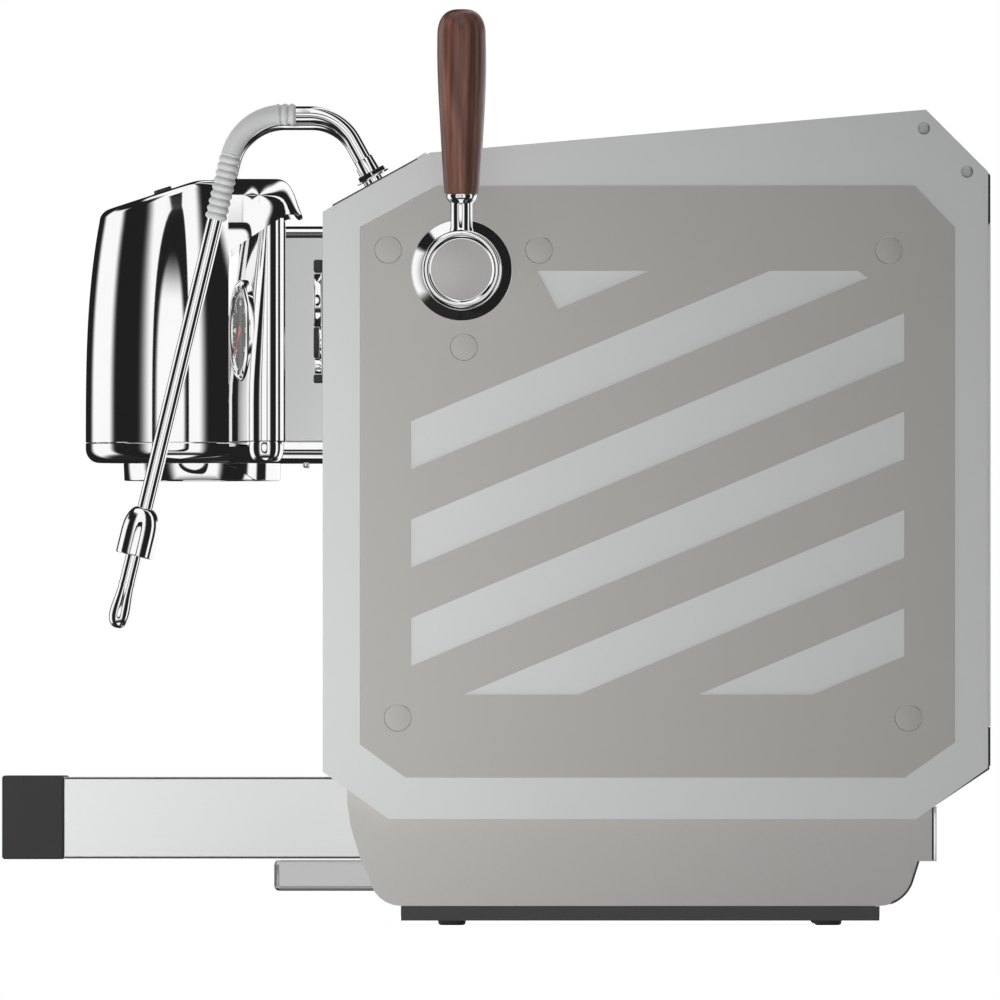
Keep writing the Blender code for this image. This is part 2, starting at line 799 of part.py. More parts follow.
def make_gauge_housing():
    """The wide wing behind the nose that carries the two gauges."""
    plan = mirrored(wing_plan())[::-1]
    bottom = SEAM_Z + GAP
    levels = [(bottom, 0.0), (0.325, 0.0004), (0.400, 0.0060), (0.430, 0.0080)]
    rings = []
    hollow = []
    for height, lean in levels:
        ring = [(x, y - lean if y > -0.139 else y, height) for x, y in plan]
        rings.append(ring)
        hollow.append([(x, y, height) for x, y in inset(plan, 0.003)])
    hollow[0] = [(x, y, bottom + 0.003) for x, y, _ in hollow[0]]
    hollow[-1] = [(x, y, 0.427) for x, y, _ in hollow[-1]]
    housing = add_object("gauge_housing", loft("gauge_housing", rings), CHROME)
    outside = slab("wing_shape", [wing_outline(0.0)], 0.10, 0.20, FORWARDS)
    combine(housing, add_object("wing_shape", outside, None, CUTTERS), "INTERSECT")
    bay = add_object("wing_bay", loft("wing_bay", hollow), None, CUTTERS)
    inside = slab("wing_bay_shape", [wing_outline(0.003)], 0.09, 0.21, FORWARDS)
    combine(bay, add_object("wing_bay_shape", inside, None, CUTTERS), "INTERSECT")
    combine(housing, bay, "DIFFERENCE")
    cut(housing, block("group_way", (-0.045, -0.18, 0.280), (0.045, -0.14, 0.400)))
    cut(housing, block("pipe_way", (-0.060, -0.14, 0.300), (0.060, -0.12, 0.410)))
    for side in (1, -1):
        place = gauge_place(side)
        start, end = place @ Vector((0, 0, -0.012)), place @ Vector((0, 0, 0.02))
        cut(housing, cylinder("gauge_way", 0.0284, start, end, 32))


def make_gauges():
    dial_z = -0.0010
    case = [
        (0.0, dial_z),
        (0.0262, dial_z),
        (0.0266, 0.0040),
        (0.0285, 0.0048),
        (GAUGE_R, 0.0030),
        (GAUGE_R, GAP),
        (0.0280, GAP),
        (0.0280, -0.0180),
        (0.0, -0.0180),
    ]
    rest = math.radians(-135)
    for side, suffix in ((1, "right"), (-1, "left")):
        place = gauge_place(side)
        turned("gauge_case_" + suffix, case, DIAL, place)
        outline = arc((0, 0), 0.0030, 110, 430, 8)
        outline += [(0.0007, 0.0190), (-0.0007, 0.0190)]
        spin = place @ Matrix.Rotation(-rest, 4, "Z")
        mesh = slab("gauge_needle_" + suffix, [outline], dial_z + 0.0008, dial_z + 0.0016, spin)
        hang_on(add_object("gauge_needle_" + suffix, mesh, NEEDLE), place.translation)


def hood_side_outline(wall):
    top, lip_y, lip_z = HEAD_TOP_Z - wall, -0.1187, 0.4323
    front = NOSE_REAR_Y + GAP + wall
    rear_curve = [(-0.1295, top), (-0.1268, top - 0.0014), (-0.1228, 0.4426), (lip_y, lip_z)]
    if wall:
        rear_curve = [(-0.1310, top), (-0.1290, top - 0.0014), (-0.1250, 0.4400), (-0.1235, 0.40)]
        mouth = [(front, top), (front, 0.4313), (front - 0.02, 0.4313)]
        return [(front - 0.02, 0.40)] + rear_curve[::-1] + mouth
    below = [(front, 0.4092), (-0.1295, 0.4311)]
    return below + rear_curve[::-1] + [(front, top)]


def hood_front_outline(wall):
    half, top, radius = HOOD_HALF - wall, HEAD_TOP_Z - wall, HOOD_CORNER_R - wall
    corner = arc((half - radius, top - radius), radius, 0, 90, 8)
    return [(-half, 0.39), (half, 0.39)] + corner + [(-x, z) for x, z in reversed(corner)]


def hood_plan_outline(wall):
    """Seen from above: wide at the front, with its rear corners rounded off."""
    half, front, rear = HOOD_HALF - wall, -0.19, HOOD_CURVE_Y + HOOD_CURVE_REACH - wall
    deep = HOOD_CURVE_DEEP - wall
    side = [(half, front)]
    for step in range(9):
        angle = math.radians(90 * step / 8)
        along = (rear - HOOD_CURVE_Y) * math.sin(angle)
        side.append((half - deep * (1 - math.cos(angle)), HOOD_CURVE_Y + along))
    return side + [(-x, y) for x, y in reversed(side)]


def make_hood():
    """The visor over the wing: its side, front and plan outlines crossed, then hollowed."""
    shapes = []
    for name, wall in (("head_hood", 0.0), ("hood_bay", 0.0025)):
        collection = CUTTERS if wall else MACHINE
        material = None if wall else CHROME
        half = HOOD_HALF + 0.01
        side = slab(name, [hood_side_outline(wall)], -half, half, SIDEWAYS)
        shape = add_object(name, side, material, collection)
        front = slab(name + "_shape", [hood_front_outline(wall)], 0.10, 0.18, FORWARDS)
        combine(shape, add_object(front.name, front, None, CUTTERS), "INTERSECT")
        plan = slab(name + "_plan", [hood_plan_outline(wall)], 0.39, 0.47, Matrix())
        combine(shape, add_object(plan.name, plan, None, CUTTERS), "INTERSECT")
        shapes.append(shape)
    combine(shapes[0], shapes[1], "DIFFERENCE")


def make_neck():
    rear, front = FRONT_Y - GAP, WING_REAR_Y + GAP + 0.0004
    low_z, high_z = SEAM_Z + GAP, 0.4252
    neck = add_object(
        "neck_cover",
        block("neck_cover", (-NECK_HALF, front, low_z), (NECK_HALF, rear, high_z)),
        NECK_GREY,
    )
    inner = NECK_HALF - SHEET
    cut(
        neck,
        block("neck_bay", (-inner, -0.14, low_z + SHEET), (inner, -0.09, high_z - SHEET)),
    )


def make_group():
    """The brass group, its bayonet ring, gasket and shower screen."""
    centre = Matrix.Translation((0, GROUP_Y, 0))
    bell = [
        (0.0, 0.3720),
        (0.0220, 0.3720),
        (0.0260, 0.3680),
        (0.0260, 0.3300),
        (0.0360, 0.3180),
        (0.0360, 0.2823),
        (0.0, 0.2823),
    ]
    group = turned("group_body", bell, BRASS, centre)
    feed = (0, GROUP_Y + 0.010, 0.350)
    fuse(group, cylinder("group_feed", 0.0150, Vector(feed) - centre.translation, (0, 0.085, 0.350)))
    group.modifiers["union"].object.location = centre.translation

    ring = [
        (0.0365, HEAD_BOTTOM_Z - GAP),
        (RING_R, HEAD_BOTTOM_Z - GAP),
        (RING_R, RING_BOTTOM_Z + 0.0010),
        (RING_R - 0.0010, RING_BOTTOM_Z),
        (0.0375, RING_BOTTOM_Z),
        (0.0365, RING_BOTTOM_Z + 0.0010),
    ]
    bayonet = turned("group_ring", ring, CHROME, centre, 32, ring=True)
    notch = block("bayonet_way", (-0.0415, -0.0115, 0.26), (0.0415, 0.0115, 0.2770))
    cut(bayonet, notch)
    bayonet.modifiers["difference"].object.location = centre.translation

    gasket = [(0.0296, 0.2820), (0.0360, 0.2820), (0.0360, 0.2768), (0.0296, 0.2768)]
    turned("group_gasket", gasket, RUBBER, centre, ring=True)
    screen = [
        (0.0, 0.2820),
        (0.0290, 0.2820),
        (0.0290, 0.2782),
        (0.0276, 0.2770),
        (0.0060, 0.2770),
        (0.0050, 0.2776),
        (0.0, 0.2776),
    ]
    turned("shower_screen", screen, STEEL, centre)


# ---------------------------------------------------------------- levers, wand and spout


def make_lever(side, kind):
    axis = Matrix.Translation((0, LEVER_Y, LEVER_Z)) @ Matrix.Rotation(side * math.pi / 2, 4, "Y")
    flange = [
        (SPINDLE_R + 0.0008, 0.2000),
        (0.0252, 0.2000),
        (0.0290, 0.1978),
        (0.0306, 0.1945),
        (0.0306, INSET_FACE + GAP),
        (SPINDLE_R + 0.0008, INSET_FACE + GAP),
    ]
    turned(kind + "_lever_flange", flange, CHROME, axis, 28, ring=True)
    hub = [
        (0.0, 0.2212),
        (0.0190, 0.2212),
        (0.0195, 0.2204),
        (0.0203, 0.2220),
        (0.0222, 0.2220),
        (0.0240, 0.2202),
        (0.0240, 0.2000 + GAP),
        (SPINDLE_R, 0.2000 + GAP),
        (SPINDLE_R, SPINDLE_END_X),
        (0.0, SPINDLE_END_X),
    ]
    body = turned(kind + "_lever_hub", hub, CHROME, axis, 28)
    stem = [
        (0.0, 0.4620),
        (0.0030, 0.4620),
        (0.0030, HANDLE_FOOT_Z - GAP),
        (0.0091, HANDLE_FOOT_Z - GAP),
        (0.0091, 0.4405),
        (0.0067, 0.4365),
        (0.0067, 0.4050),
        (0.0, 0.4050),
    ]
    upright = Matrix.Translation((side * STEM_X, LEVER_Y, 0))
    post = turned(kind + "_lever_stem", stem, None, upright, 16, collection=CUTTERS)
    combine(body, post, "UNION")
    grip = [
        (0.0, HANDLE_TOP_Z),
        (0.0060, HANDLE_TOP_Z - 0.0008),
        (0.0106, HANDLE_TOP_Z - 0.0034),
        (0.0136, HANDLE_TOP_Z - 0.0080),
        (0.0147, HANDLE_TOP_Z - 0.0150),
        (0.0147, HANDLE_TOP_Z - 0.0300),
        (0.0139, 0.5050),
        (0.0120, 0.4700),
        (0.0106, 0.4500),
        (0.0104, HANDLE_FOOT_Z),
        (0.0033, HANDLE_FOOT_Z),
        (0.0033, 0.4640),
        (0.0, 0.4640),
    ]
    pivot = Vector((side * STEM_X, LEVER_Y, LEVER_Z))
    grip = [(radius, height - LEVER_Z) for radius, height in grip]
    turned(kind + "_lever_handle", grip, WALNUT, Matrix.Translation(pivot), 20)


def rounded(corners, radii, steps):
    """A (Y, Z) route through corners, each inner corner replaced by an arc."""
    route = [Vector(corners[0])]
    for index, radius in enumerate(radii):
        before, here, after = (Vector(corners[index + step]) for step in (0, 1, 2))
        arrive, leave = (here - before).normalized(), (after - here).normalized()
        turn = arrive.angle_signed(leave)
        reach = radius * math.tan(abs(turn) / 2)
        start = here - arrive * reach
        side = 1 if turn < 0 else -1
        centre = start + Vector((-arrive.y, arrive.x)) * side * radius
        for step in range(steps + 1):
            spoke = start - centre
            spoke.rotate(Matrix.Rotation(-turn * step / steps, 2))
            route.append(centre + spoke)
    route.append(Vector(corners[-1]))
    return route


def swept_rings(route, radii, x, sides=12):
    """Rings about a route in a plane across X, with one radius for each of its points."""
    rings = []
    for index, radius in enumerate(radii):
        before = route[max(index - 1, 0)]
        after = route[min(index + 1, len(route) - 1)]
        along = (after - before).normalized()
        across = Vector((-along.y, along.x))
        ring = []
        for corner in range(sides):
            angle = 2 * math.pi * (corner + 0.5) / sides
            offset = across * math.cos(angle) * radius
            point = route[index] + offset
            ring.append((x + math.sin(angle) * radius, point.x, point.y))
        rings.append(ring)
    return rings


def wand_corners(end_z):
    """The route's corners: out along the slope's normal, forwards, then down to a height."""
    normal = slope_frame()[1]
    exit_point = Vector(SLOPE_EXIT)
    start = exit_point - normal * 0.024
    crown = exit_point + normal * (CROWN_Z - SLOPE_EXIT[1]) / normal.y
    drop_y, drop_z = -0.1705, 0.4286
    down = Vector((-math.tan(WAND_LEAN), -1.0))
    knee = Vector((drop_y, drop_z)) - down * (CROWN_Z - drop_z)
    end = Vector((drop_y, drop_z)) + down * (drop_z - end_z)
    return [start, crown, knee, end]


def on_leg(route, height):
    """The point on the route's last leg at a height."""
    start, end = route[-2], route[-1]
    return start.lerp(end, (start.y - height) / (start.y - end.y))


def make_wand():
    normal = slope_frame()[1]
    exit_point = Vector((WAND_X, *SLOPE_EXIT))
    outward = Vector((0, *normal))
    seat = exit_point + outward * 0.0022
    turn = outward.to_track_quat("Z", "Y").to_matrix().to_4x4()
    nut = turned(
        "wand_nut",
        [(WAND_R + 0.0006, 0.0015), (0.0108, 0.0015), (0.0108, 0.0), (WAND_R + 0.0006, 0.0)],
        CHROME,
        Matrix.Translation(seat) @ turn,
        24,
        ring=True,
    )
    hexagon = [circle((0, 0), 0.0102, 6), circle((0, 0), WAND_R + 0.0006, 24)[::-1]]
    hexagon_mesh = slab("wand_hexagon", hexagon, 0.0014, 0.0054, Matrix())
    body = add_object("wand_hexagon", hexagon_mesh, None, CUTTERS)
    body.matrix_world = Matrix.Translation(seat) @ turn
    combine(nut, body, "UNION")

    route = rounded(wand_corners(PIPE_END_Z), (FIRST_BEND_R, SECOND_BEND_R), 8)
    pivot = tuple(exit_point)
    pipe = loft("wand_pipe", swept_rings(route, [WAND_R] * len(route), WAND_X))
    hang_on(add_object("wand_pipe", pipe, CHROME), pivot)
    hang_on(make_sleeve(route), pivot)

    down = (route[-1] - route[-2]).normalized()
    axis = Vector((0, *-down)).to_track_quat("Z", "Y").to_matrix().to_4x4()
    bell = [
        (WAND_R + GAP, 0.0),
        (0.0068, -0.0003),
        (0.0096, -0.0048),
        (0.0110, -0.0110),
        (0.0114, -0.0290),
        (0.0100, -0.0296),
        (0.0094, -0.0120),
        (WAND_R + GAP, -0.0080),
    ]
    top = on_leg(route, BELL_TOP_Z)
    place = Matrix.Translation((WAND_X, *top)) @ axis
    guard = turned("wand_bell", bell, CHROME, place, ring=True)
    tip = [
        (0.0, -GAP),
        (0.0050, -GAP),
        (0.0064, -0.0100),
        (0.0066, -0.0180),
        (0.0058, -0.0236),
        (0.0034, -0.0272),
        (0.0, -0.0282),
    ]
    nozzle = turned("wand_tip", tip, CHROME, Matrix.Translation((WAND_X, *route[-1])) @ axis)
    hang_parent([guard, nozzle], pivot, "wand_pivot")


def make_sleeve(route):
    """The silicone grip around the elbow and the top of the wand."""
    radius, inner = 0.0068, WAND_R + GAP
    points = [Vector((SLEEVE_START_Y, CROWN_Z))] + route[10:19] + [on_leg(route, SLEEVE_END_Z)]
    outer = swept_rings(points, [radius] * len(points), WAND_X)
    bore = swept_rings(points, [inner] * len(points), WAND_X)
    return add_object("wand_sleeve", loft("wand_sleeve", outer + bore[::-1], closed=True), SILICONE)


def make_spout():
    normal = slope_frame()[1]
    exit_point = Vector((-WAND_X, *SLOPE_EXIT))
    outward = Vector((0, *normal))
    route = rounded(wand_corners(SPOUT_END_Z), (FIRST_BEND_R, SECOND_BEND_R), 8)
    last_leg = route[-1] - route[-2]
    aerator = [route[-1] - last_leg.normalized() * step for step in (0.016, 0.0155)]
    points = route[:-1] + aerator + [route[-1]]
    radii = [WAND_R] * (len(points) - 2) + [0.0068, 0.0068]
    mesh = loft("spout_pipe", swept_rings(points, radii, -WAND_X))
    spout = add_object("spout_pipe", mesh, CHROME)
    low, middle, high = (exit_point + outward * reach for reach in (0.0022, 0.0037, 0.0100))
    fuse(spout, cylinder("spout_washer", 0.0115, low, middle, 24))
    fuse(spout, cylinder("spout_hexagon", 0.0105, low + outward * 0.001, high, 6))
    pivot = tuple(exit_point)
    hang_on(spout, pivot)
    for modifier in spout.modifiers:
        hang_on(modifier.object, pivot)


# ---------------------------------------------------------------- controls


def make_controls():
    """The control strip on the front panel: a plate with raised ends, a knob and a button."""
    low_z, high_z, back, floor = 0.3295, 0.4043, FRONT_Y - GAP, FRONT_Y - 0.0028
    outline = [
        (back, low_z),
        (back, high_z),
        (CONTROL_PROUD_Y, high_z - 0.0010),
        (CONTROL_PROUD_Y, high_z - 0.0082),
        (floor, high_z - 0.0086),
        (floor, low_z + 0.0044),
        (CONTROL_PROUD_Y, low_z + 0.0040),
        (CONTROL_PROUD_Y, low_z),
    ][::-1]
    half = 0.017
    plate = slab("control_plate", [outline], CONTROL_X - half, CONTROL_X + half, SIDEWAYS)
    plate = add_object("control_plate", plate, BLACK)
    button_z = 0.3540
    stem_way = cylinder("button_stem_way", 0.0044, (CONTROL_X, -0.12, button_z), (CONTROL_X, -0.10, button_z), 20)
    cut(plate, stem_way)
    facing = Matrix.Rotation(math.pi / 2, 4, "X")
    knob = [
        (0.0, 0.0026),
        (0.0120, 0.0026),
        (0.0148, 0.0022),
        (0.0155, 0.0014),
        (0.0155, 0.0),
        (0.0, 0.0),
    ]
    seat = floor - GAP
    turned(
        "temperature_knob",
        knob,
        CHROME,
        Matrix.Translation((CONTROL_X, seat, 0.3797)) @ facing,
    )
    button = [
        (0.0, 0.0026),
        (0.0086, 0.0026),
        (0.0094, 0.0020),
        (0.0094, 0.0012),
        (0.0040, 0.0012),
        (0.0040, -0.0010),
        (0.0, -0.0010),
    ]
    turned(
        "power_button",
        button,
        BLACK,
        Matrix.Translation((CONTROL_X, seat, button_z)) @ facing,
        24,
    )


# ---------------------------------------------------------------- inside the body


def make_boiler():
    """A hollow horizontal boiler on two legs, closed at -X by the heating element's flange."""
    centre = (0.085, 0.275)
    radius, half, wall, mouth = 0.062, 0.120, 0.003, 0.021
    along = Matrix.Translation((0, *centre)) @ Matrix.Rotation(math.pi / 2, 4, "Y")
    outside = [
        (0.0, half + 0.018),
        (0.035, half + 0.013),
        (radius - 0.006, half),
        (radius, half - 0.010),
        (radius, -half + 0.010),
        (radius - 0.006, -half),
        (0.035, -half - 0.004),
        (mouth, -half - 0.004),
    ]
    inside = [
        (mouth, -half),
        (0.035, -half),
        (radius - wall, -half + 0.012),
        (radius - wall, half - 0.012),
        (0.035, half + 0.009),
        (0.0, half + 0.014),
    ]
    boiler = turned("boiler", outside + inside, STEEL, along, 24)
    low_z, high_z = BASE_TOP_Z + SHEET + 2 * GAP, centre[1] - radius + 0.002
    for side in (1, -1):
        middle = side * 0.085
        leg = block(
            "boiler_leg",
            (middle - 0.006, centre[0] - 0.012, low_z),
            (middle + 0.006, centre[0] + 0.012, high_z),
        )
        fuse(boiler, leg)
    element = [
        (0.0, 0.060),
        (0.0080, 0.058),
        (0.0080, -half),
        (mouth - 0.0006, -half),
        (mouth - 0.0006, -half - 0.004 - GAP),
        (0.032, -half - 0.004 - GAP),
        (0.032, -half - 0.010),
        (0.015, -half - 0.010),
        (0.015, -half - 0.022),
        (0.0, -half - 0.022),
    ]
    turned("heating_element", element, BRASS, along, 24)


def make_pump():
    axis_y, axis_z, radius = 0.190, 0.1418, 0.048
    along = Matrix.Translation((0, axis_y, axis_z)) @ Matrix.Rotation(math.pi / 2, 4, "Y")
    motor = [
        (0.0, 0.010),
        (0.030, 0.010),
        (radius - 0.004, 0.006),
        (radius, 0.0),
        (radius, -0.120),
        (radius - 0.005, -0.126),
        (0.0, -0.126),
    ]
    turned("pump_motor", motor, RAIL_DARK, along, 24)
    pump = [
        (0.0, 0.075),
        (0.020, 0.075),
        (0.020, 0.062),
        (0.028, 0.060),
        (0.028, 0.022),
        (0.022, 0.018),
        (0.022, 0.010 + GAP),
        (0.0, 0.010 + GAP),
    ]
    turned("pump", pump, BRASS, along, 24)


def make_valves():
    valve = [
        (0.0, 0.1680),
        (SPINDLE_R + GAP, 0.1680),
        (SPINDLE_R + GAP, 0.1800),
        (0.0090, 0.1800),
        (0.0090, 0.1650),
        (0.0130, 0.1630),
        (0.0130, 0.1250),
        (0.0100, 0.1200),
        (0.0, 0.1200),
    ]
    for side, kind in ((1, "steam"), (-1, "water")):
        turn = Matrix.Rotation(side * math.pi / 2, 4, "Y")
        place = Matrix.Translation((0, LEVER_Y, LEVER_Z)) @ turn
        turned(kind + "_valve", valve, BRASS, place, 24)


def make_electrics():
    box = block("control_box", (-0.080, 0.240, 0.200), (0.080, REAR_PANEL_Y - GAP, 0.290))
    add_object("control_box", box, RAIL_DARK)
    wall_y = 0.2645
    flange = block("mains_inlet", (-0.125, wall_y + GAP, 0.0415), (-0.075, wall_y + 0.0025, 0.0727))
    inlet = add_object("mains_inlet", flange, BLACK)
    fuse(inlet, block("inlet_body", (-0.121, 0.2360, 0.0450), (-0.079, wall_y + 0.001, 0.0692)))
    cut(inlet, block("inlet_socket", (-0.1120, 0.2500, 0.0490), (-0.0880, 0.28, 0.0650)))


def smooth(obj):
    """Smooth shading on round pieces, with the real edges kept sharp."""
    obj.data.polygons.foreach_set("use_smooth", [True] * len(obj.data.polygons))
    obj.data.set_sharp_from_angle(angle=math.radians(35))
    for modifier in obj.modifiers:
        if modifier.type == "SCREW":
            modifier.use_smooth_shade = True


def main():
    make_base()
    make_chassis()
    make_side(1, "right")
    make_side(-1, "left")
    make_front_panel()
    make_slope_panel()
    make_top_panel()
    make_rear()
    make_feet()
    make_tray()
    make_drain_box()
    make_head_base()
    make_nose()
    make_gauge_housing()
    make_gauges()
    make_hood()
    make_neck()
    make_group()
    make_lever(1, "steam")
    make_lever(-1, "water")
    make_wand()
    make_spout()
    make_controls()
    make_boiler()
    make_pump()
    make_valves()
    make_electrics()
    for obj in [each for each in MACHINE.objects if each.type == "MESH"]:
        smooth(obj)


main()
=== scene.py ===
"""The looks of a one-group espresso machine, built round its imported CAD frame.

Metres, +Z up. The operator stands at -Y, and the steam wand is on the +X side.
"""

import json
import math

import bmesh
import bpy
from mathutils import Matrix, Vector

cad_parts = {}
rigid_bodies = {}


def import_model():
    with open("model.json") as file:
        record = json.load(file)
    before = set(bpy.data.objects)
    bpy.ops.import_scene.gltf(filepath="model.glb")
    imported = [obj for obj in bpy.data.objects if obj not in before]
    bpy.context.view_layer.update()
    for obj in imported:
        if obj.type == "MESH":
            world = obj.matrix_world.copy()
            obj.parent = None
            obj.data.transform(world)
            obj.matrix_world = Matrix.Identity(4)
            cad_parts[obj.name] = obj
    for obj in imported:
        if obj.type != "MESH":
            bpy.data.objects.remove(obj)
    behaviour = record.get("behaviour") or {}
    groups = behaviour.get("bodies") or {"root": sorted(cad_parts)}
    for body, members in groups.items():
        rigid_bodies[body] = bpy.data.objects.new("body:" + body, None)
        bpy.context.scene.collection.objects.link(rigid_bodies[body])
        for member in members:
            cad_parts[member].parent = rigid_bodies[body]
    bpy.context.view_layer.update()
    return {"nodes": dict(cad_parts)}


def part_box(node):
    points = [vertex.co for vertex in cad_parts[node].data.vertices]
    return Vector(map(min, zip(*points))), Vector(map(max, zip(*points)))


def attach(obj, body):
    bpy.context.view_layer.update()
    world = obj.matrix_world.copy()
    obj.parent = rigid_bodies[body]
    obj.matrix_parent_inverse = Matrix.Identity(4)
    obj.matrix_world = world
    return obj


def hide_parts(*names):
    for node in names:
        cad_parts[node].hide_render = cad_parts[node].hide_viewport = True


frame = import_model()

NODES = frame["nodes"]
COLLECTION = bpy.context.scene.collection

# ---- dimensions

# Panels: the inset's outer face, the cover screws' seat, the front panel, and the dark slope.
INSET_FACE, SCREW_FACE = 0.19, 0.1888
FRONT_Y = -0.1052
SLOPE_LOW, SLOPE_HIGH = (-0.1003, 0.4356), (-0.0401, 0.4688)
# Centres (Y, Z) of the bright cover screws and of the round plugs in the inset panels.
SCREWS = [(0.2596, 0.4834), (0.2858, 0.4572)]
PLUGS = [(-0.0654, 0.4098), (0.0261, 0.4098), (-0.0195, 0.3508)]
PLUGS += [(0.2383, 0.4095), (-0.0596, 0.1259), (0.2502, 0.1259)]
# Levers: their axis, the stem's distance from the middle, and the wooden handle's ends.
LEVER_Y, LEVER_Z, STEM_X = -0.0209, 0.3975, 0.2085
HANDLE_FOOT_Z, HANDLE_TOP_Z = 0.4435, 0.5555
# Steam wand and spout: pipe radius, where they leave the slope, their crown, lean and lower ends.
WAND_X, WAND_R = 0.15, 0.005
SLOPE_EXIT = (-0.0737, 0.453)
CROWN_Z, WAND_LEAN = 0.4925, math.radians(13.6)
WAND_END_Z, SPOUT_END_Z = 0.208, 0.332
# The wand's bell, and where its soft sleeve starts and ends along it.
BELL_Z, SLEEVE_START_Y, SLEEVE_END_Z = 0.2529, -0.1215, 0.4285
# Head: the seam between base and covers, the round nose, its brow and the gauge wing behind it.
SEAM_Z, HEAD_BOTTOM_Z, HEAD_TOP_Z = 0.2943, 0.2818, 0.4542
NOSE_R, NOSE_Y, NOSE_REAR_Y = 0.058, -0.1928, -0.1632
NOSE_LEAN, NOSE_LEAN_Z = 0.009, 0.4323
BROW, NOSE_TOP = (-0.1842, 0.4534), (-0.2386, 0.436)
WING_FRONT_Y, WING_TIP, WING_REAR_Y = -0.1628, (0.117, -0.1496), -0.1293
HOOD_HALF, HOOD_R = 0.126, 0.034
HOOD_CURVE_Y, HOOD_CURVE_REACH, HOOD_CURVE_DEEP = -0.153, 0.035, 0.026
GROUP_Y = -0.18
GROUP_AXIS = Matrix.Translation((0, GROUP_Y, 0))
# Gauges: centre, radius, depth set into the wing, and the dial's face and scale in degrees.
GAUGE_X, GAUGE_Z, GAUGE_R = 0.088, 0.3619, 0.0308
GAUGE_SUNK = 0.0026
DIAL_Z = GAUGE_SUNK + 0.0001
DIAL_START, DIAL_SWEEP = 225, 270
# Control strip: its middle, the plane that its pieces sit on, and their heights.
CONTROL_X, CONTROL_SEAT_Y = 0.135, -0.1083
KNOB_Z, KEY_Z, LAMP_Z = 0.3797, 0.354, 0.3398
# The gap left between touching pieces, and the distance at which doubled points are merged.
GAP, WELD = 0.0003, 0.000001
# The hood's lower edge: where it starts, how steeply it climbs to the rear, and its greatest height.
HOOD_FRONT_Y, HOOD_FOOT_Z = NOSE_REAR_Y + GAP, 0.4092
HOOD_CLIMB, HOOD_FOOT_MOST = 0.6557, 0.4323
SIDES = ((1, "right"), (-1, "left"))


# ---- materials


def filled(node, **sockets):
    """The node with its inputs set; an underscore stands for a space in an input's name."""
    for socket, value in sockets.items():
        node.inputs[socket.replace("_", " ")].default_value = value
    return node


class Surface:
    """A Principled material with procedural colour, roughness and relief in object coordinates."""

    def __init__(self, name, roughness=0.4, metallic=0.0, **sockets):
        self.material = bpy.data.materials.new(name)
        self.material.use_nodes = True
        self.tree = self.material.node_tree
        shader = self.tree.nodes["Principled BSDF"]
        self.shader = filled(shader, Roughness=roughness, Metallic=metallic, **sockets)
        self.place = self.node("ShaderNodeTexCoord").outputs["Object"]

    def node(self, kind, **settings):
        made = self.tree.nodes.new(kind)
        for key, value in settings.items():
            setattr(made, key, value)
        return made

    def link(self, source, node, socket):
        self.tree.links.new(source, node.inputs[socket])

    def noise(self, scale, stretch=(1, 1, 1), detail=3.0, distortion=0.0):
        mapping = filled(self.node("ShaderNodeMapping"), Scale=stretch)
        self.link(self.place, mapping, "Vector")
        noise = self.node("ShaderNodeTexNoise")
        filled(noise, Scale=scale, Detail=detail, Distortion=distortion)
        self.link(mapping.outputs["Vector"], noise, "Vector")
        return noise.outputs["Fac"]

    def colours(self, source, stops):
        ramp = self.node("ShaderNodeValToRGB")
        elements = ramp.color_ramp.elements
        while len(elements) < len(stops):
            elements.new(0.5)
        for element, (position, colour) in zip(elements, stops):
            element.position = position
            element.color = (*colour, 1)
        self.link(source, ramp, "Fac")
        self.link(ramp.outputs["Color"], self.shader, "Base Color")

    def rough(self, source, low, high):
        span = self.node("ShaderNodeMapRange")
        filled(span, From_Min=0.3, From_Max=0.7, To_Min=low, To_Max=high)
        self.link(source, span, "Value")
        self.link(span.outputs["Result"], self.shader, "Roughness")

    def relief(self, source, depth):
        bump = filled(self.node("ShaderNodeBump"), Distance=depth, Strength=1.0)
        self.link(source, bump, "Height")
        self.link(bump.outputs["Normal"], self.shader, "Normal")
        return self


def tint(colour, factor):
    return tuple(min(1.0, channel * factor) for channel in colour)


FINE = 0.00001


def grained(name, colour, roughness, metallic, scale, spread, depth=FINE, stretch=(1, 1, 1), **sockets):
    """Metal, paint or plastic: a little colour variation, uneven gloss and a fine relief."""
    made = Surface(name, roughness, metallic, **sockets)
    broad = made.noise(9.0, detail=2.0)
    fine = made.noise(scale, stretch, detail=4.0)
    made.colours(fine, [(0.3, tint(colour, 1 - spread)), (0.7, tint(colour, 1 + spread))])
    made.rough(broad, roughness * 0.88, roughness * 1.12)
    if depth:
        made.relief(fine, depth)
    return made.material


SILVER = grained("satin_silver", (0.58, 0.585, 0.585), 0.5, 0.04, 2600, 0.02)
WARM = grained("warm_grey_coat", (0.397, 0.391, 0.374), 0.62, 0.0, 1800, 0.035, 0.00002)
BASE = grained("base_grey_coat", (0.426, 0.42, 0.406), 0.6, 0.0, 1800, 0.035, 0.00002)
NECK = grained("neck_satin", (0.545, 0.553, 0.553), 0.5, 0.0, 2400, 0.02)
TRAY = grained("tray_satin", (0.632, 0.643, 0.64), 0.42, 0.1, 900, 0.008, stretch=(1, 0.03, 1))
DRAIN = grained("drain_polish", (0.52, 0.512, 0.516), 0.16, 1.0, 900, 0.01, 0)
CHROME = grained("polished_chrome", (0.9, 0.9, 0.9), 0.045, 1.0, 60, 0.01, 0)
STEEL = grained("brushed_steel", (0.62, 0.61, 0.6), 0.28, 1.0, 1400, 0.06, stretch=(0.02, 1, 1))
SCREW = grained("zinc_screw", (0.42, 0.42, 0.42), 0.38, 0.9, 1600, 0.05)
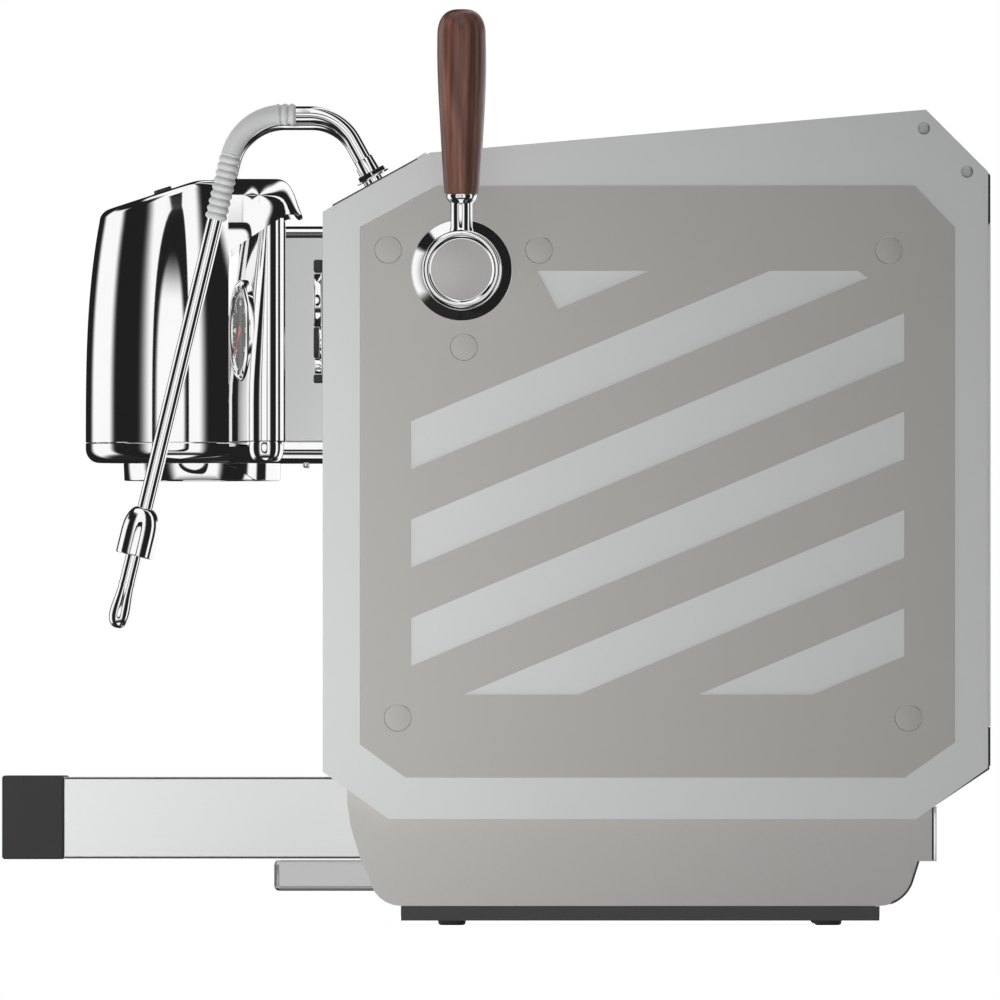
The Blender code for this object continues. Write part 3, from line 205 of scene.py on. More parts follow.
BRASS = grained("machined_brass", (0.7, 0.5, 0.24), 0.3, 1.0, 1300, 0.06, stretch=(1, 1, 0.03))
COPPER = grained("boiler_copper", (0.66, 0.36, 0.25), 0.34, 1.0, 500, 0.08, stretch=(0.05, 1, 1))
BLACK = grained("black_plastic", (0.022, 0.022, 0.0224), 0.58, 0.0, 1500, 0.12, 0.00004)
CARBON = grained("dark_metal", (0.06, 0.0575, 0.059), 0.42, 0.4, 1500, 0.08, 0.00002)
RUBBER = grained("black_rubber", (0.022, 0.022, 0.022), 0.78, 0.0, 900, 0.15, 0.00005)
SILICONE = grained("grey_silicone", (0.56, 0.56, 0.56), 0.55, 0.0, 700, 0.03, 2e-5, Subsurface_Weight=0.05)
DIAL = grained("dial_black", (0.045, 0.043, 0.044), 0.4, 0.0, 1200, 0.08, Specular_IOR_Level=0.08)
INK = grained("dial_white", (0.8, 0.79, 0.76), 0.5, 0.0, 1200, 0.03, 0.000005)
RED = grained("needle_red", (0.42, 0.045, 0.038), 0.38, 0.0, 1200, 0.06, 0.000005)
LAMP = grained("lamp_amber", (0.8, 0.33, 0.06), 0.18, 0.0, 700, 0.06)


def make_walnut():
    made = Surface("oiled_walnut", 0.42, 0.0, Coat_Weight=0.35, Coat_Roughness=0.2)
    grain = made.noise(260, (1, 1, 0.035), detail=7.0, distortion=0.3)
    stops = [(0.3, (0.055, 0.0195, 0.0122)), (0.44, (0.099, 0.038, 0.0255))]
    stops += [(0.56, (0.152, 0.0615, 0.043)), (0.72, (0.228, 0.101, 0.074))]
    made.colours(grain, stops)
    pores = made.noise(1500, (1, 1, 0.05), detail=2.0)
    made.rough(pores, 0.36, 0.52)
    return made.relief(pores, 0.00006).material


def make_badge():
    """Fine turning marks on the lever's blank badge."""
    made = Surface("spun_badge", 0.36, 0.75)
    fine = made.noise(1800, detail=3.0)
    made.colours(fine, [(0.3, (0.48, 0.474, 0.462)), (0.7, (0.54, 0.534, 0.522))])
    return made.relief(fine, 0.00001).material


def make_glass():
    made = Surface("gauge_glass", 0.02, 0.0, Transmission_Weight=1.0, IOR=1.035)
    haze = made.noise(30, detail=2.0)
    made.colours(haze, [(0.3, (0.97, 0.98, 0.98)), (0.7, (1.0, 1.0, 1.0))])
    return made.material


WALNUT = make_walnut()
BADGE = make_badge()
GLASS = make_glass()


# ---- mesh helpers


def piece(name, form, material, body="root", replaces=(), place=None, sharp=32):
    """A finished piece: shaded smooth with its real edges kept, and riding on its body."""
    mesh = mesh_of(form, name, place)
    mesh.materials.append(material)
    mesh.polygons.foreach_set("use_smooth", [True] * len(mesh.polygons))
    mesh.set_sharp_from_angle(angle=math.radians(sharp))
    obj = bpy.data.objects.new(name, mesh)
    COLLECTION.objects.link(obj)
    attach(obj, body)
    if replaces:
        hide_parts(*replaces)
    return obj


def mesh_of(form, name, place=None):
    if place:
        bmesh.ops.transform(form, matrix=place, verts=form.verts)
    bmesh.ops.recalc_face_normals(form, faces=form.faces)
    mesh = bpy.data.meshes.new(name)
    form.to_mesh(mesh)
    form.free()
    return mesh


def arc(centre, radius, start, end, steps):
    points = []
    for step in range(steps + 1):
        angle = math.radians(start + (end - start) * step / steps)
        points.append((centre[0] + radius * math.cos(angle), centre[1] + radius * math.sin(angle)))
    return points


def eased(points, radius, steps=4, closed=True):
    """The outline with each corner rounded off by a small curve."""
    made = []
    count = len(points)
    for index, corner in enumerate(points):
        if not closed and index in (0, count - 1):
            made.append(tuple(corner))
            continue
        here = Vector(corner)
        before = Vector(points[index - 1]) - here
        after = Vector(points[(index + 1) % count]) - here
        reach = min(radius, before.length * 0.45, after.length * 0.45)
        start, end = here + before.normalized() * reach, here + after.normalized() * reach
        for step in range(steps + 1):
            share = step / steps
            made.append(tuple(start.lerp(here, share).lerp(here.lerp(end, share), share)))
    return made


def skin(form, rows, closed):
    """Faces between neighbouring rows of vertices, drawn to a point where a row is one vertex."""
    pairs = list(zip(rows, rows[1:])) + ([(rows[-1], rows[0])] if closed else [])
    for lower, upper in pairs:
        for index in range(len(lower)):
            other = (index + 1) % len(lower)
            corners = dict.fromkeys((lower[index], lower[other], upper[other], upper[index]))
            if len(corners) > 2:
                form.faces.new(tuple(corners))


def loft(rings, closed=False, caps=True):
    """Skin through rings of points, with flat ends."""
    form = bmesh.new()
    rows = [[form.verts.new(point) for point in ring] for ring in rings]
    skin(form, rows, closed)
    if caps and not closed:
        form.faces.new(rows[0])
        form.faces.new(rows[-1])
    return form


def whole(half):
    """A symmetric ring of points, from its half on +X."""
    return half + [(-x, y, z) for x, y, z in reversed(half)]


def sheet(rings):
    """An open skin over rings of points, with its rows of vertices."""
    form = bmesh.new()
    rows = [[form.verts.new(point) for point in ring] for ring in rings]
    for lower, upper in zip(rows, rows[1:]):
        for index in range(len(lower) - 1):
            form.faces.new((lower[index], lower[index + 1], upper[index + 1], upper[index]))
    return form, rows


def lathe(profile, steps=96, closed=False):
    """A turned form about Z. Points on the axis close it; a closed profile makes a ring."""
    form = bmesh.new()
    turns = [2 * math.pi / steps * step for step in range(steps)]
    rows = []
    for radius, height in profile:
        if radius < 1e-6:
            rows.append([form.verts.new((0, 0, height))] * steps)
            continue
        spokes = [(radius * math.cos(turn), radius * math.sin(turn), height) for turn in turns]
        rows.append([form.verts.new(point) for point in spokes])
    skin(form, rows, closed)
    return form


def prism(outline, low, high):
    return loft([[(u, v, low) for u, v in outline], [(u, v, high) for u, v in outline]])


def extruded(outline, first_x, last_x):
    """A (Y, Z) outline carried along X."""
    return loft([[(x, y, z) for y, z in outline] for x in (first_x, last_x)])


def block(size, centre):
    form = bmesh.new()
    bmesh.ops.create_cube(form, size=1)
    bmesh.ops.scale(form, vec=size, verts=form.verts)
    bmesh.ops.translate(form, vec=centre, verts=form.verts)
    return form


def add_form(form, other):
    """Adds the other form's faces to this one."""
    mesh = bpy.data.meshes.new("added")
    other.to_mesh(mesh)
    form.from_mesh(mesh)
    other.free()
    bpy.data.meshes.remove(mesh)


def turned(name, profile, place, material, body="root", replaces=(), steps=64, closed=False, sharp=32):
    """A piece turned about the Z axis of its place."""
    return piece(name, lathe(profile, steps, closed), material, body, replaces, place, sharp)


def bevelled(obj, width, segments=3, angle=30):
    rounding = obj.modifiers.new("round", "BEVEL")
    rounding.width = width
    rounding.segments = segments
    rounding.limit_method = "ANGLE"
    rounding.angle_limit = math.radians(angle)
    rounding.harden_normals = True


def shelled(obj, thickness):
    shell = obj.modifiers.new("shell", "SOLIDIFY")
    shell.thickness = thickness
    shell.offset = -1


def cut(obj, form, name, place=None):
    """Takes a shape out of a piece, and leaves no helper behind."""
    tool = bpy.data.objects.new(name, mesh_of(form, name, place))
    COLLECTION.objects.link(tool)
    boolean = obj.modifiers.new(name, "BOOLEAN")
    boolean.solver = "EXACT"
    boolean.object = tool
    bpy.context.view_layer.update()
    graph = bpy.context.evaluated_depsgraph_get()
    result = bpy.data.meshes.new_from_object(obj.evaluated_get(graph))
    obj.modifiers.clear()
    obj.data = result
    bpy.data.objects.remove(tool)
    result.set_sharp_from_angle(angle=math.radians(32))


def slope_normal():
    """The direction straight out of the sloping panel, in world axes."""
    uphill = Vector((0, SLOPE_HIGH[0] - SLOPE_LOW[0], SLOPE_HIGH[1] - SLOPE_LOW[1])).normalized()
    return Vector((1, 0, 0)).cross(uphill)


# ---- carried-over CAD nodes

CARRIED = {
    SILVER: ["side_plate_left", "side_plate_right", "front_panel", "top_panel", "rear_panel"],
    WARM: ["inset_panel_left", "inset_panel_right"],
    BASE: ["base_shell"],
    NECK: ["neck_cover"],
    TRAY: ["tray_body"],
    DRAIN: ["drain_box"],
    STEEL: ["group_body", "chassis_frame", "shower_screen", "tray_grate"],
    COPPER: ["boiler"],
    BRASS: ["heating_element", "pump", "steam_valve", "water_valve"],
    CARBON: ["slope_panel", "foot_rail_left", "foot_rail_right", "pump_motor"],
    BLACK: ["tray_fascia", "tray_pan", "rear_trim_bottom", "rear_trim_top", "control_box", "mains_inlet"],
    RUBBER: ["group_gasket"],
}
EDGE_WIDTHS = {
    0.00015: ["inset_panel_left", "inset_panel_right"],
    0.00025: ["side_plate_left", "side_plate_right"],
    0.0003: ["top_panel", "rear_panel"],
    0.0004: ["front_panel", "slope_panel"],
    0.0005: ["tray_grate", "foot_rail_left", "foot_rail_right", "mains_inlet"],
    0.0006: ["base_shell", "rear_trim_bottom", "rear_trim_top"],
    0.001: ["tray_body", "tray_fascia"],
    0.0012: ["drain_box"],
    0.0015: ["neck_cover"],
}


def dress_nodes():
    """Gives the CAD nodes that stay their materials, and softens the edges that are seen."""
    for material, names in CARRIED.items():
        for name in names:
            for material_slot in NODES[name].material_slots:
                material_slot.material = material
    for width, names in EDGE_WIDTHS.items():
        for name in names:
            weld = NODES[name].modifiers.new("weld", "WELD")
            weld.merge_threshold = 0.00001
            rounding = NODES[name].modifiers.new("edges", "BEVEL")
            rounding.width = width
            rounding.segments = 2
            rounding.limit_method = "ANGLE"
            rounding.angle_limit = math.radians(25)


# ---- head


def nose_angle(radius, y):
    return math.degrees(math.asin((y - NOSE_Y) / radius))


def roof_z(y):
    """Height of the nose's roof; the fold at the brow is eased over 6 mm."""
    slope = (BROW[1] - NOSE_TOP[1]) / (BROW[0] - NOSE_TOP[0])
    sloped = BROW[1] + (y - BROW[0]) * slope
    level = HEAD_TOP_Z
    ease = 0.0012
    return (sloped + level - math.sqrt((sloped - level) ** 2 + ease**2)) / 2 + ease * 0.12


def nose_rings():
    """Rings up the nose's wall, then in over its rounded upper edge."""
    edge = 0.0055
    first = nose_angle(NOSE_R, NOSE_REAR_Y)
    spokes = arc((0, 0), 1.0, first, -90, 56)[:-1]
    levels = [(step / 20, 0.0, edge) for step in range(21)]
    for step in range(1, 9):
        angle = math.radians(90 * step / 8)
        levels.append((1.0, edge * (1 - math.cos(angle)), edge * (1 - math.sin(angle))))
    rings = []
    for share, depth, drop in levels:
        ring = []
        for u, v in spokes:
            top = roof_z(NOSE_Y + (NOSE_R - NOSE_LEAN - depth) * v)
            z = SEAM_Z + (top - drop - SEAM_Z) * share
            height = (min(z, top - edge) - SEAM_Z) / (NOSE_LEAN_Z - SEAM_Z)
            radius = NOSE_R - depth - NOSE_LEAN * height**3
            ring.append((radius * u, NOSE_Y + radius * v, z))
        ring[0] = (ring[0][0], NOSE_REAR_Y, ring[0][2])
        rings.append(whole(ring))
    return rings


def strip_cap(form, row):
    """Closes a symmetric row with strips from one side to the other."""
    for index in range(len(row) // 2 - 1):
        form.faces.new((row[index], row[index + 1], row[-index - 2], row[-index - 1]))


def capped(rings):
    form = loft(rings, caps=False)
    for row in (rings[0], rings[-1]):
        strip_cap(form, [form.verts.new(point) for point in row])
    bmesh.ops.remove_doubles(form, verts=form.verts, dist=WELD)
    return form


def stadium(length, width, sides=16):
    reach = (length - width) / 2
    right = arc((reach, 0), width / 2, -90, 90, sides)
    return right + arc((-reach, 0), width / 2, 90, 270, sides)


def button_place():
    """The brew button's seat on the nose's sloping roof."""
    uphill = Vector((0, BROW[0] - NOSE_TOP[0], BROW[1] - NOSE_TOP[1])).normalized()
    middle_y = -0.2033
    slope = uphill.z / uphill.y
    origin = Vector((0, middle_y, BROW[1] + (middle_y - BROW[0]) * slope))
    axes = Matrix((Vector((1, 0, 0)), uphill, Vector((1, 0, 0)).cross(uphill)))
    return Matrix.Translation(origin) @ axes.transposed().to_4x4()


def make_nose():
    form, rows = sheet(nose_rings())
    strip_cap(form, rows[-1])
    cover = piece("nose_cover", form, CHROME, replaces=["group_cover"])
    shelled(cover, 0.0016)
    place = button_place()
    cut(cover, prism(stadium(0.0246, 0.0116), -0.02, 0.02), "button_way", place)
    cover.modifiers.new("normals", "WEIGHTED_NORMAL").keep_sharp = True
    make_brew_key(place)


def make_brew_key(place):
    """The brew button: a long cap with a slightly dished top, in a rubber rim."""
    length, width = 0.024, 0.011
    levels = [(-0.006, 1.0), (0.0015, 1.0), (0.002, 0.985), (0.0023, 0.94), (0.0023, 0.8)]
    levels += [(0.0019, 0.7), (0.0017, 0.45)]
    rings = []
    for height, share in levels:
        ring = []
        for u, v in stadium(length, width):
            reach = math.copysign(min(abs(u), (length - width) / 2), u)
            away = Vector((u - reach, v))
            away *= (away.length - width / 2 * (1 - share)) / away.length
            ring.append((reach + away.x, away.y, height))
        rings.append(ring)
    piece("brew_key_cap", loft(rings), BLACK, "brew_key", ["brew_button"], place)
    outer, inner = stadium(0.0268, 0.0138), stadium(0.025, 0.012)
    seats = [(outer, -0.0004), (outer, 0.0004), (inner, 0.0006), (inner, -0.0004)]
    rim = loft([[(u, v, height) for u, v in outline] for outline, height in seats], closed=True)
    piece("brew_key_rim", rim, RUBBER, place=place)


def wing_half(depth):
    """Half of the wing's plan on +X, its rounded end drawn finely."""
    root = math.radians(nose_angle(NOSE_R, WING_FRONT_Y))
    end_x, end_y, reach, half_deep = 0.1115, -0.14, 0.011, 0.0107
    plan = [(0.098, WING_REAR_Y), (0.105, WING_REAR_Y)]
    for step in range(29):
        angle = math.radians(90 - 168 * step / 28)
        plan.append((end_x + reach * math.cos(angle), end_y + half_deep * math.sin(angle)))
    plan += [(0.105, -0.1519), (0.08, -0.1568), (NOSE_R * math.cos(root), WING_FRONT_Y)]
    moved = []
    for index, corner in enumerate(plan):
        before = Vector(plan[max(index - 1, 0)])
        after = Vector(plan[min(index + 1, len(plan) - 1)])
        along = (after - before).normalized()
        moved.append(tuple(Vector(corner) + Vector((along.y, -along.x)) * depth))
    return moved


def make_wing():
    """The gauge wing, which leans back and narrows a little toward its top."""
    rings = []
    for height in [SEAM_Z + GAP] + [0.3 + 0.01 * step for step in range(14)]:
        lean = 0.008 * max(0.0, (height - 0.325) / 0.105) ** 1.3
        narrowing = 0.0015 * max(0.0, (height - 0.415) / 0.015)
        ring = []
        for x, y in wing_half(0):
            share = min(1.0, max(0.0, (y + 0.139) / -0.01))
            ring.append((x - narrowing, y + lean * share, height))
        rings.append(whole(ring))
    piece("gauge_wing", capped(rings), CHROME, replaces=["gauge_housing"])


def head_ring(depth, height):
    """The head's plan, drawn in by a depth: half of the neck, the wing and the nose, and its mirror."""
    radius = NOSE_R - depth
    wing = wing_half(depth * 0.5)[:-1]
    neck = [(0.07 - depth, FRONT_Y - GAP), (0.07 - depth, wing[0][1])]
    nose = arc((0, NOSE_Y), radius, nose_angle(radius, WING_FRONT_Y), -90, 48)[:-1]
    return whole([(x, y, height) for x, y in neck + wing + nose])


def make_head_base():
    rings = []
    for step in range(9):
        angle = math.radians(90 * step / 8)
        depth = 0.0082 * (1 - math.sin(angle))
        rings.append(head_ring(depth, HEAD_BOTTOM_Z + 0.0085 * (1 - math.cos(angle))))
    top = SEAM_Z - GAP
    rings += [head_ring(0, top - 0.0006), head_ring(0.0004, top)]
    tub = piece("head_tub", capped(rings), CHROME, replaces=["head_base"])
    cut(tub, lathe([(0, 0.27), (0.0367, 0.27), (0.0367, 0.2935), (0, 0.2935)]), "group_bore", GROUP_AXIS)


def hood_foot(y):
    return HOOD_FOOT_Z + (y - HOOD_FRONT_Y) * HOOD_CLIMB


def hood_sections():
    """(y, drop of the top, bottom height) along the hood, from the nose to the rear lip."""
    rows = []
    lip_y = -0.134
    for step in range(15):
        y = HOOD_FRONT_Y + (lip_y - HOOD_FRONT_Y) * step / 14
        rows.append((y, 0.0, hood_foot(y)))
    curve = [(lip_y, HEAD_TOP_Z), (-0.1235, 0.4545), (-0.1225, 0.4415), (-0.1187, 0.4335)]
    for step in range(1, 13):
        t = step / 12
        weights = ((1 - t) ** 3, 3 * t * (1 - t) ** 2, 3 * t * t * (1 - t), t**3)
        y = sum(w * p[0] for w, p in zip(weights, curve))
        z = sum(w * p[1] for w, p in zip(weights, curve))
        rows.append((y, HEAD_TOP_Z - z, min(hood_foot(y), HOOD_FOOT_MOST)))
    return rows


def hood_ring(y, drop, bottom):
    """One section across the hood: upright sides, quarter-round shoulders and a flat top."""
    top = HEAD_TOP_Z - drop
    radius = HOOD_R - drop * 0.2
    centre_z = max(top - radius, bottom)
    turn = math.asin(min(1.0, max(0.0, (y - HOOD_CURVE_Y) / HOOD_CURVE_REACH)))
    half = HOOD_HALF - HOOD_CURVE_DEEP * (1 - math.cos(turn))
    outline = [(half, min(bottom, centre_z))]
    outline += [(half, bottom + (centre_z - bottom) * k / 4) for k in range(1, 4)]
    for k in range(13):
        angle = math.pi / 2 * k / 12
        x = half - radius + radius * math.cos(angle)
        outline.append((x, centre_z + (top - centre_z) * math.sin(angle)))
    outline += [((half - radius) * (1 - k / 6), top) for k in range(1, 6)]
    return whole([(x, y, z) for x, z in outline])


def make_hood():
    form = sheet([hood_ring(*section) for section in hood_sections()])[0]
    bmesh.ops.remove_doubles(form, verts=form.verts, dist=WELD)
    hood = piece("head_visor", form, CHROME, replaces=["head_hood"])
    shelled(hood, 0.0022)
    bevelled(hood, 0.0006, 3, 50)


def strip(name, low, high, material, body="root", edge=0.0006, replaces=()):
    """A straight bar with softened edges."""
    low, high = Vector(low), Vector(high)
    form = block(high - low, (high + low) / 2)
    bmesh.ops.bevel(form, geom=form.edges[:], offset=edge, segments=3, profile=0.5, affect="EDGES")
    return piece(name, form, material, body, replaces)


def make_neck_trim():
    """The bright band over the neck, and the two studs under the head."""
    rear, front = FRONT_Y - GAP, WING_REAR_Y + 0.0012
    half, top, low = 0.0714, 0.4256, 0.4171
    outline = [(half - 0.0034, top), (half - 0.0004, top - 0.0015), (half, top - 0.002)]
    outline += [(half, 0.421), (half - 0.0003, 0.4203), (half - 0.0018, 0.4178), (half - 0.002, low)]
    outline += [(-x, z) for x, z in reversed(outline)]
    form = loft([[(x, y, z) for x, z in outline] for y in (front, rear)])
    piece("neck_band_top", form, CHROME)
    stud = eased([(0, 0.0026), (0.002, 0.0026), (0.002, 0), (0, 0)], 0.0008, closed=False)
    for side, suffix in SIDES:
        seat = Matrix.Translation((side * 0.06, -0.116, HEAD_BOTTOM_Z - 0.0001))
        turned("head_stud_" + suffix, stud, seat @ Matrix.Rotation(math.pi, 4, "X"), CHROME, steps=32)


# ---- group and gauges


def make_group_ring():
    """The bayonet ring with its two slots, and the ramp that swells from its rear wall."""
    top, bottom = HEAD_BOTTOM_Z - GAP, 0.2709
    wall = [(0.0365, top), (0.0476, top), (0.0472, bottom + 0.0006), (0.0468, bottom), (0.0365, bottom)]
    ring = turned("bayonet_ring", wall, GROUP_AXIS, CHROME, "root", ["group_ring"], 144, closed=True)
    cut(ring, block((0.083, 0.023, 0.017), (0, GROUP_Y, 0.2685)), "bayonet_way")
    bevelled(ring, 0.0003, 2, 40)
    rings = []
    first, last, steps = 18.0, 162.0, 60
    for step in range(steps + 1):
        angle = first + (last - first) * step / steps
        share = min(1.0, (min(angle - first, last - angle) + 0.5) / 26)
        low = top - (top - bottom - 0.0003) * share
        along, across = math.cos(math.radians(angle)), math.sin(math.radians(angle))
        corners = [(0.0466, top), (0.0484, top), (0.0481, low), (0.0466, low)]
        rings.append([(along * r, GROUP_Y + across * r, z) for r, z in corners])
    bevelled(piece("bayonet_ramp", loft(rings), CHROME), 0.0002, 2, 40)


def gauge_place(side):
    root_x = NOSE_R * math.cos(math.radians(nose_angle(NOSE_R, WING_FRONT_Y)))
    along = Vector((WING_TIP[0] - root_x, WING_TIP[1] - WING_FRONT_Y, 0)).normalized()
    normal = Vector((along.y * side, -along.x, 0))
    surface_y = WING_FRONT_Y + along.y * (GAUGE_X - root_x) / along.x
    turn = normal.to_track_quat("Z", "Y").to_matrix().to_4x4()
    sunk = normal * -GAUGE_SUNK
    return Matrix.Translation(Vector((side * GAUGE_X, surface_y, GAUGE_Z)) + sunk) @ turn


def make_ticks(name, place):
    """Thirty-one ticks round the dial, every fifth one long."""
    ticks = bmesh.new()
    outer = 0.0232
    for count in range(31):
        inner, thick = (0.0196, 0.0008) if count % 5 == 0 else (0.0212, 0.0004)
        tick = block((outer - inner, thick, 0.0002), ((outer + inner) / 2, 0, DIAL_Z + 0.0001))
        turn = Matrix.Rotation(math.radians(DIAL_START - DIAL_SWEEP * count / 30), 3, "Z")
        bmesh.ops.rotate(tick, matrix=turn, verts=tick.verts)
        add_form(ticks, tick)
    piece(name, ticks, INK, place=place)


def make_figures(suffix, place, top_value):
    """Seven plain numbers, evenly spaced up to the dial's top value."""
    for count in range(7):
        angle = math.radians(DIAL_START - DIAL_SWEEP * count / 6)
        value = top_value * count / 6
        text = bpy.data.curves.new("figure", "FONT")
        text.body = f"{round(value, 1):g}"
        text.size = 0.0042
        text.align_x, text.align_y = "CENTER", "CENTER"
        text.extrude = 0.00008
        text.materials.append(INK)
        figure = bpy.data.objects.new(f"gauge_figure_{suffix}_{count}", text)
        COLLECTION.objects.link(figure)
        seat = (0.0166 * math.cos(angle), 0.0166 * math.sin(angle), DIAL_Z + 0.0001)
        figure.matrix_world = place @ Matrix.Translation(seat)
        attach(figure, "root")


def make_pointer(suffix, place, body):
    """A tapered needle with a round hub and a small cap."""
    outline = arc((0, 0), 0.003, 112, 428, 24) + [(0.0006, 0.014), (0.0003, 0.0205)]
    outline += [(-0.0003, 0.0205), (-0.0006, 0.014)]
    needle = prism(outline, DIAL_Z + 0.0004, DIAL_Z + 0.0008)
    cap = [(0, 0.0039), (0.0012, 0.0038), (0.0018, 0.0034), (0.0018, 0.0028), (0, 0.0028)]
    add_form(needle, lathe(cap, 32))
    piece("gauge_pointer_" + suffix, needle, RED, body, ["gauge_needle_" + suffix], place)


def make_gauges():
    bezel = [(0.024, 0.0008), (0.0258, 0.004), (0.0268, 0.0048), (0.0285, 0.005)]
    bezel += [(GAUGE_R, 0.0034), (GAUGE_R, -0.0012), (0.025, -0.0012)]
    plate = [(0, DIAL_Z), (0.025, DIAL_Z), (0.025, -0.001), (0, -0.001)]
    pane = [(0, 0.0047), (0.015, 0.0046), (0.0252, 0.0042), (0.0252, 0.0038), (0, 0.0041)]
    red_arc = arc((0, 0), 0.0241, -45, 0, 16) + arc((0, 0), 0.0234, 0, -45, 16)
    for side, suffix, top_value, body in ((1, "right", 3, "boiler_needle"), (-1, "left", 16, "pump_needle")):
        place = gauge_place(side)
        rim, case = eased(bezel, 0.0009, 4), ["gauge_case_" + suffix]
        turned("gauge_bezel_" + suffix, rim, place, CHROME, "root", case, 120, closed=True)
        turned("gauge_dial_" + suffix, plate, place, DIAL, steps=96)
        turned("gauge_glass_" + suffix, pane, place, GLASS, steps=96)
        make_ticks("gauge_ticks_" + suffix, place)
        zone = prism(red_arc, DIAL_Z - 0.0001, DIAL_Z + 0.00015)
        piece("gauge_zone_" + suffix, zone, RED, place=place)
        make_figures(suffix, place, top_value)
        make_pointer(suffix, place @ Matrix.Rotation(math.radians(135), 4, "Z"), body)


# ---- levers


def make_lever(side, kind):
    """A conical flange, a turned hub with its badge, a stem and a wooden grip."""
    axis = Matrix.Translation((0, LEVER_Y, LEVER_Z)) @ Matrix.Rotation(side * math.pi / 2, 4, "Y")
    body = kind + "_lever"
    low = INSET_FACE + GAP
    flange = [(0.0058, 0.2), (0.0243, 0.2), (0.03, 0.1932)]
    flange += [(0.0306, 0.1926), (0.0306, low + 0.0004), (0.0302, low), (0.0058, low)]
    flange = eased(flange, 0.0003, 3)
    turned(kind + "_flange", flange, axis, CHROME, "root", [body + "_flange"], 128, closed=True)
    hub = [(0.0, 0.2196), (0.019, 0.2196), (0.0196, 0.2208), (0.0204, 0.2216), (0.0214, 0.2219)]
    hub += [(0.0224, 0.2217), (0.0233, 0.221), (0.0239, 0.2198), (0.024, 0.218), (0.024, 0.215)]
    hub += [(0.0234, 0.2146), (0.0234, 0.2138), (0.024, 0.2134), (0.024, 0.2004)]
    hub += [(0.005, 0.2003), (0.005, 0.17), (0.0, 0.17)]
    turned(kind + "_hub", hub, axis, CHROME, body, [body + "_hub"], 128)
    badge = [(0.0, 0.2207), (0.0176, 0.2207), (0.0184, 0.2205), (0.0186, 0.22), (0.0186, 0.2194)]
    turned(kind + "_badge", badge + [(0.0, 0.2194)], axis, BADGE, body, steps=128)
    upright = Matrix.Translation((side * STEM_X, LEVER_Y, 0))
    foot = HANDLE_FOOT_Z - GAP
    stem = [(0.0, foot), (0.009, foot), (0.0093, foot - 0.0008), (0.0091, foot - 0.0022)]
    stem += [(0.0084, foot - 0.0036), (0.0072, foot - 0.0048), (0.0067, foot - 0.0056)]
    stem += [(0.0066, foot - 0.0066), (0.0066, 0.4232), (0.0069, 0.4222), (0.0072, 0.421)]
    turned(kind + "_stem", stem + [(0.0072, 0.415), (0, 0.415)], upright, CHROME, body)
    grip = []
    for step in range(13):
        angle = math.radians(90 - 90 * step / 12)
        grip.append((0.0147 * math.cos(angle) ** 0.68, HANDLE_TOP_Z - 0.015 * (1 - math.sin(angle))))
    grip += [(0.0148, 0.528), (0.0146, 0.518), (0.0141, 0.505), (0.0133, 0.49), (0.0123, 0.472)]
    grip += [(0.0113, 0.456), (0.0108, 0.448), (0.0105, 0.4442)]
    grip += [(0.0101, HANDLE_FOOT_Z), (0.0, HANDLE_FOOT_Z)]
    turned(kind + "_grip", grip, upright, WALNUT, body, [body + "_handle"], 96)


# ---- wand and spout


def rounded(corners, radii, steps):
    """A (Y, Z) route through corners, each inner corner replaced by an arc."""
    route = [Vector(corners[0])]
    for index, radius in enumerate(radii):
        before, here, after = (Vector(corners[index + step]) for step in (0, 1, 2))
        arrive, leave = (here - before).normalized(), (after - here).normalized()
        turn = arrive.angle_signed(leave)
        start = here - arrive * radius * math.tan(abs(turn) / 2)
        side = 1 if turn < 0 else -1
        centre = start + Vector((-arrive.y, arrive.x)) * side * radius
        for step in range(steps + 1):
            spoke = start - centre
            spoke.rotate(Matrix.Rotation(-turn * step / steps, 2))
            route.append(centre + spoke)
    route.append(Vector(corners[-1]))
    return route


def wand_corners(end_z):
    """The corners of a pipe that leaves the slope, crosses its crown and leans down and forward."""
    normal = slope_normal().yz
    exit_point = Vector(SLOPE_EXIT)
    crown = exit_point + normal * (CROWN_Z - SLOPE_EXIT[1]) / normal.y
    down = Vector((-math.tan(WAND_LEAN), -1.0))
    low = Vector((-0.1705, 0.4286))
    knee = low - down * (CROWN_Z - low.y)
    return [exit_point - normal * 0.024, crown, knee, low + down * (low.y - end_z)]


def swept(route, radii, x, sides=32):
    rings = []
    for index, radius in enumerate(radii):
        before, after = route[max(index - 1, 0)], route[min(index + 1, len(route) - 1)]
        along = (after - before).normalized()
        across = Vector((-along.y, along.x))
        ring = []
        for corner in range(sides):
            angle = 2 * math.pi * corner / sides
            point = route[index] + across * math.cos(angle) * radius
            ring.append((x + math.sin(angle) * radius, point.x, point.y))
        rings.append(ring)
    return rings


def spaced(route, pitch):
    """The route again, as points a small pitch apart."""
    points = [route[0]]
    carried = 0.0
    for start, end in zip(route, route[1:]):
        length = (end - start).length
        place = pitch - carried
        while place <= length:
            points.append(start.lerp(end, place / length))
            place += pitch
        carried = length - (place - pitch)
    return points


def make_pipe(x, end_z, body, node, name):
    route = rounded(wand_corners(end_z), (0.03, 0.0325), 24)
    piece(name, loft(swept(route, [WAND_R] * len(route), x)), CHROME, body, [node])
    return route


def end_turn(route):
    """The turn that lays a turned piece's Z axis back up the end of a pipe."""
    down = (route[-1] - route[-2]).normalized()
    return Vector((0, *-down)).to_track_quat("Z", "Y").to_matrix().to_4x4()


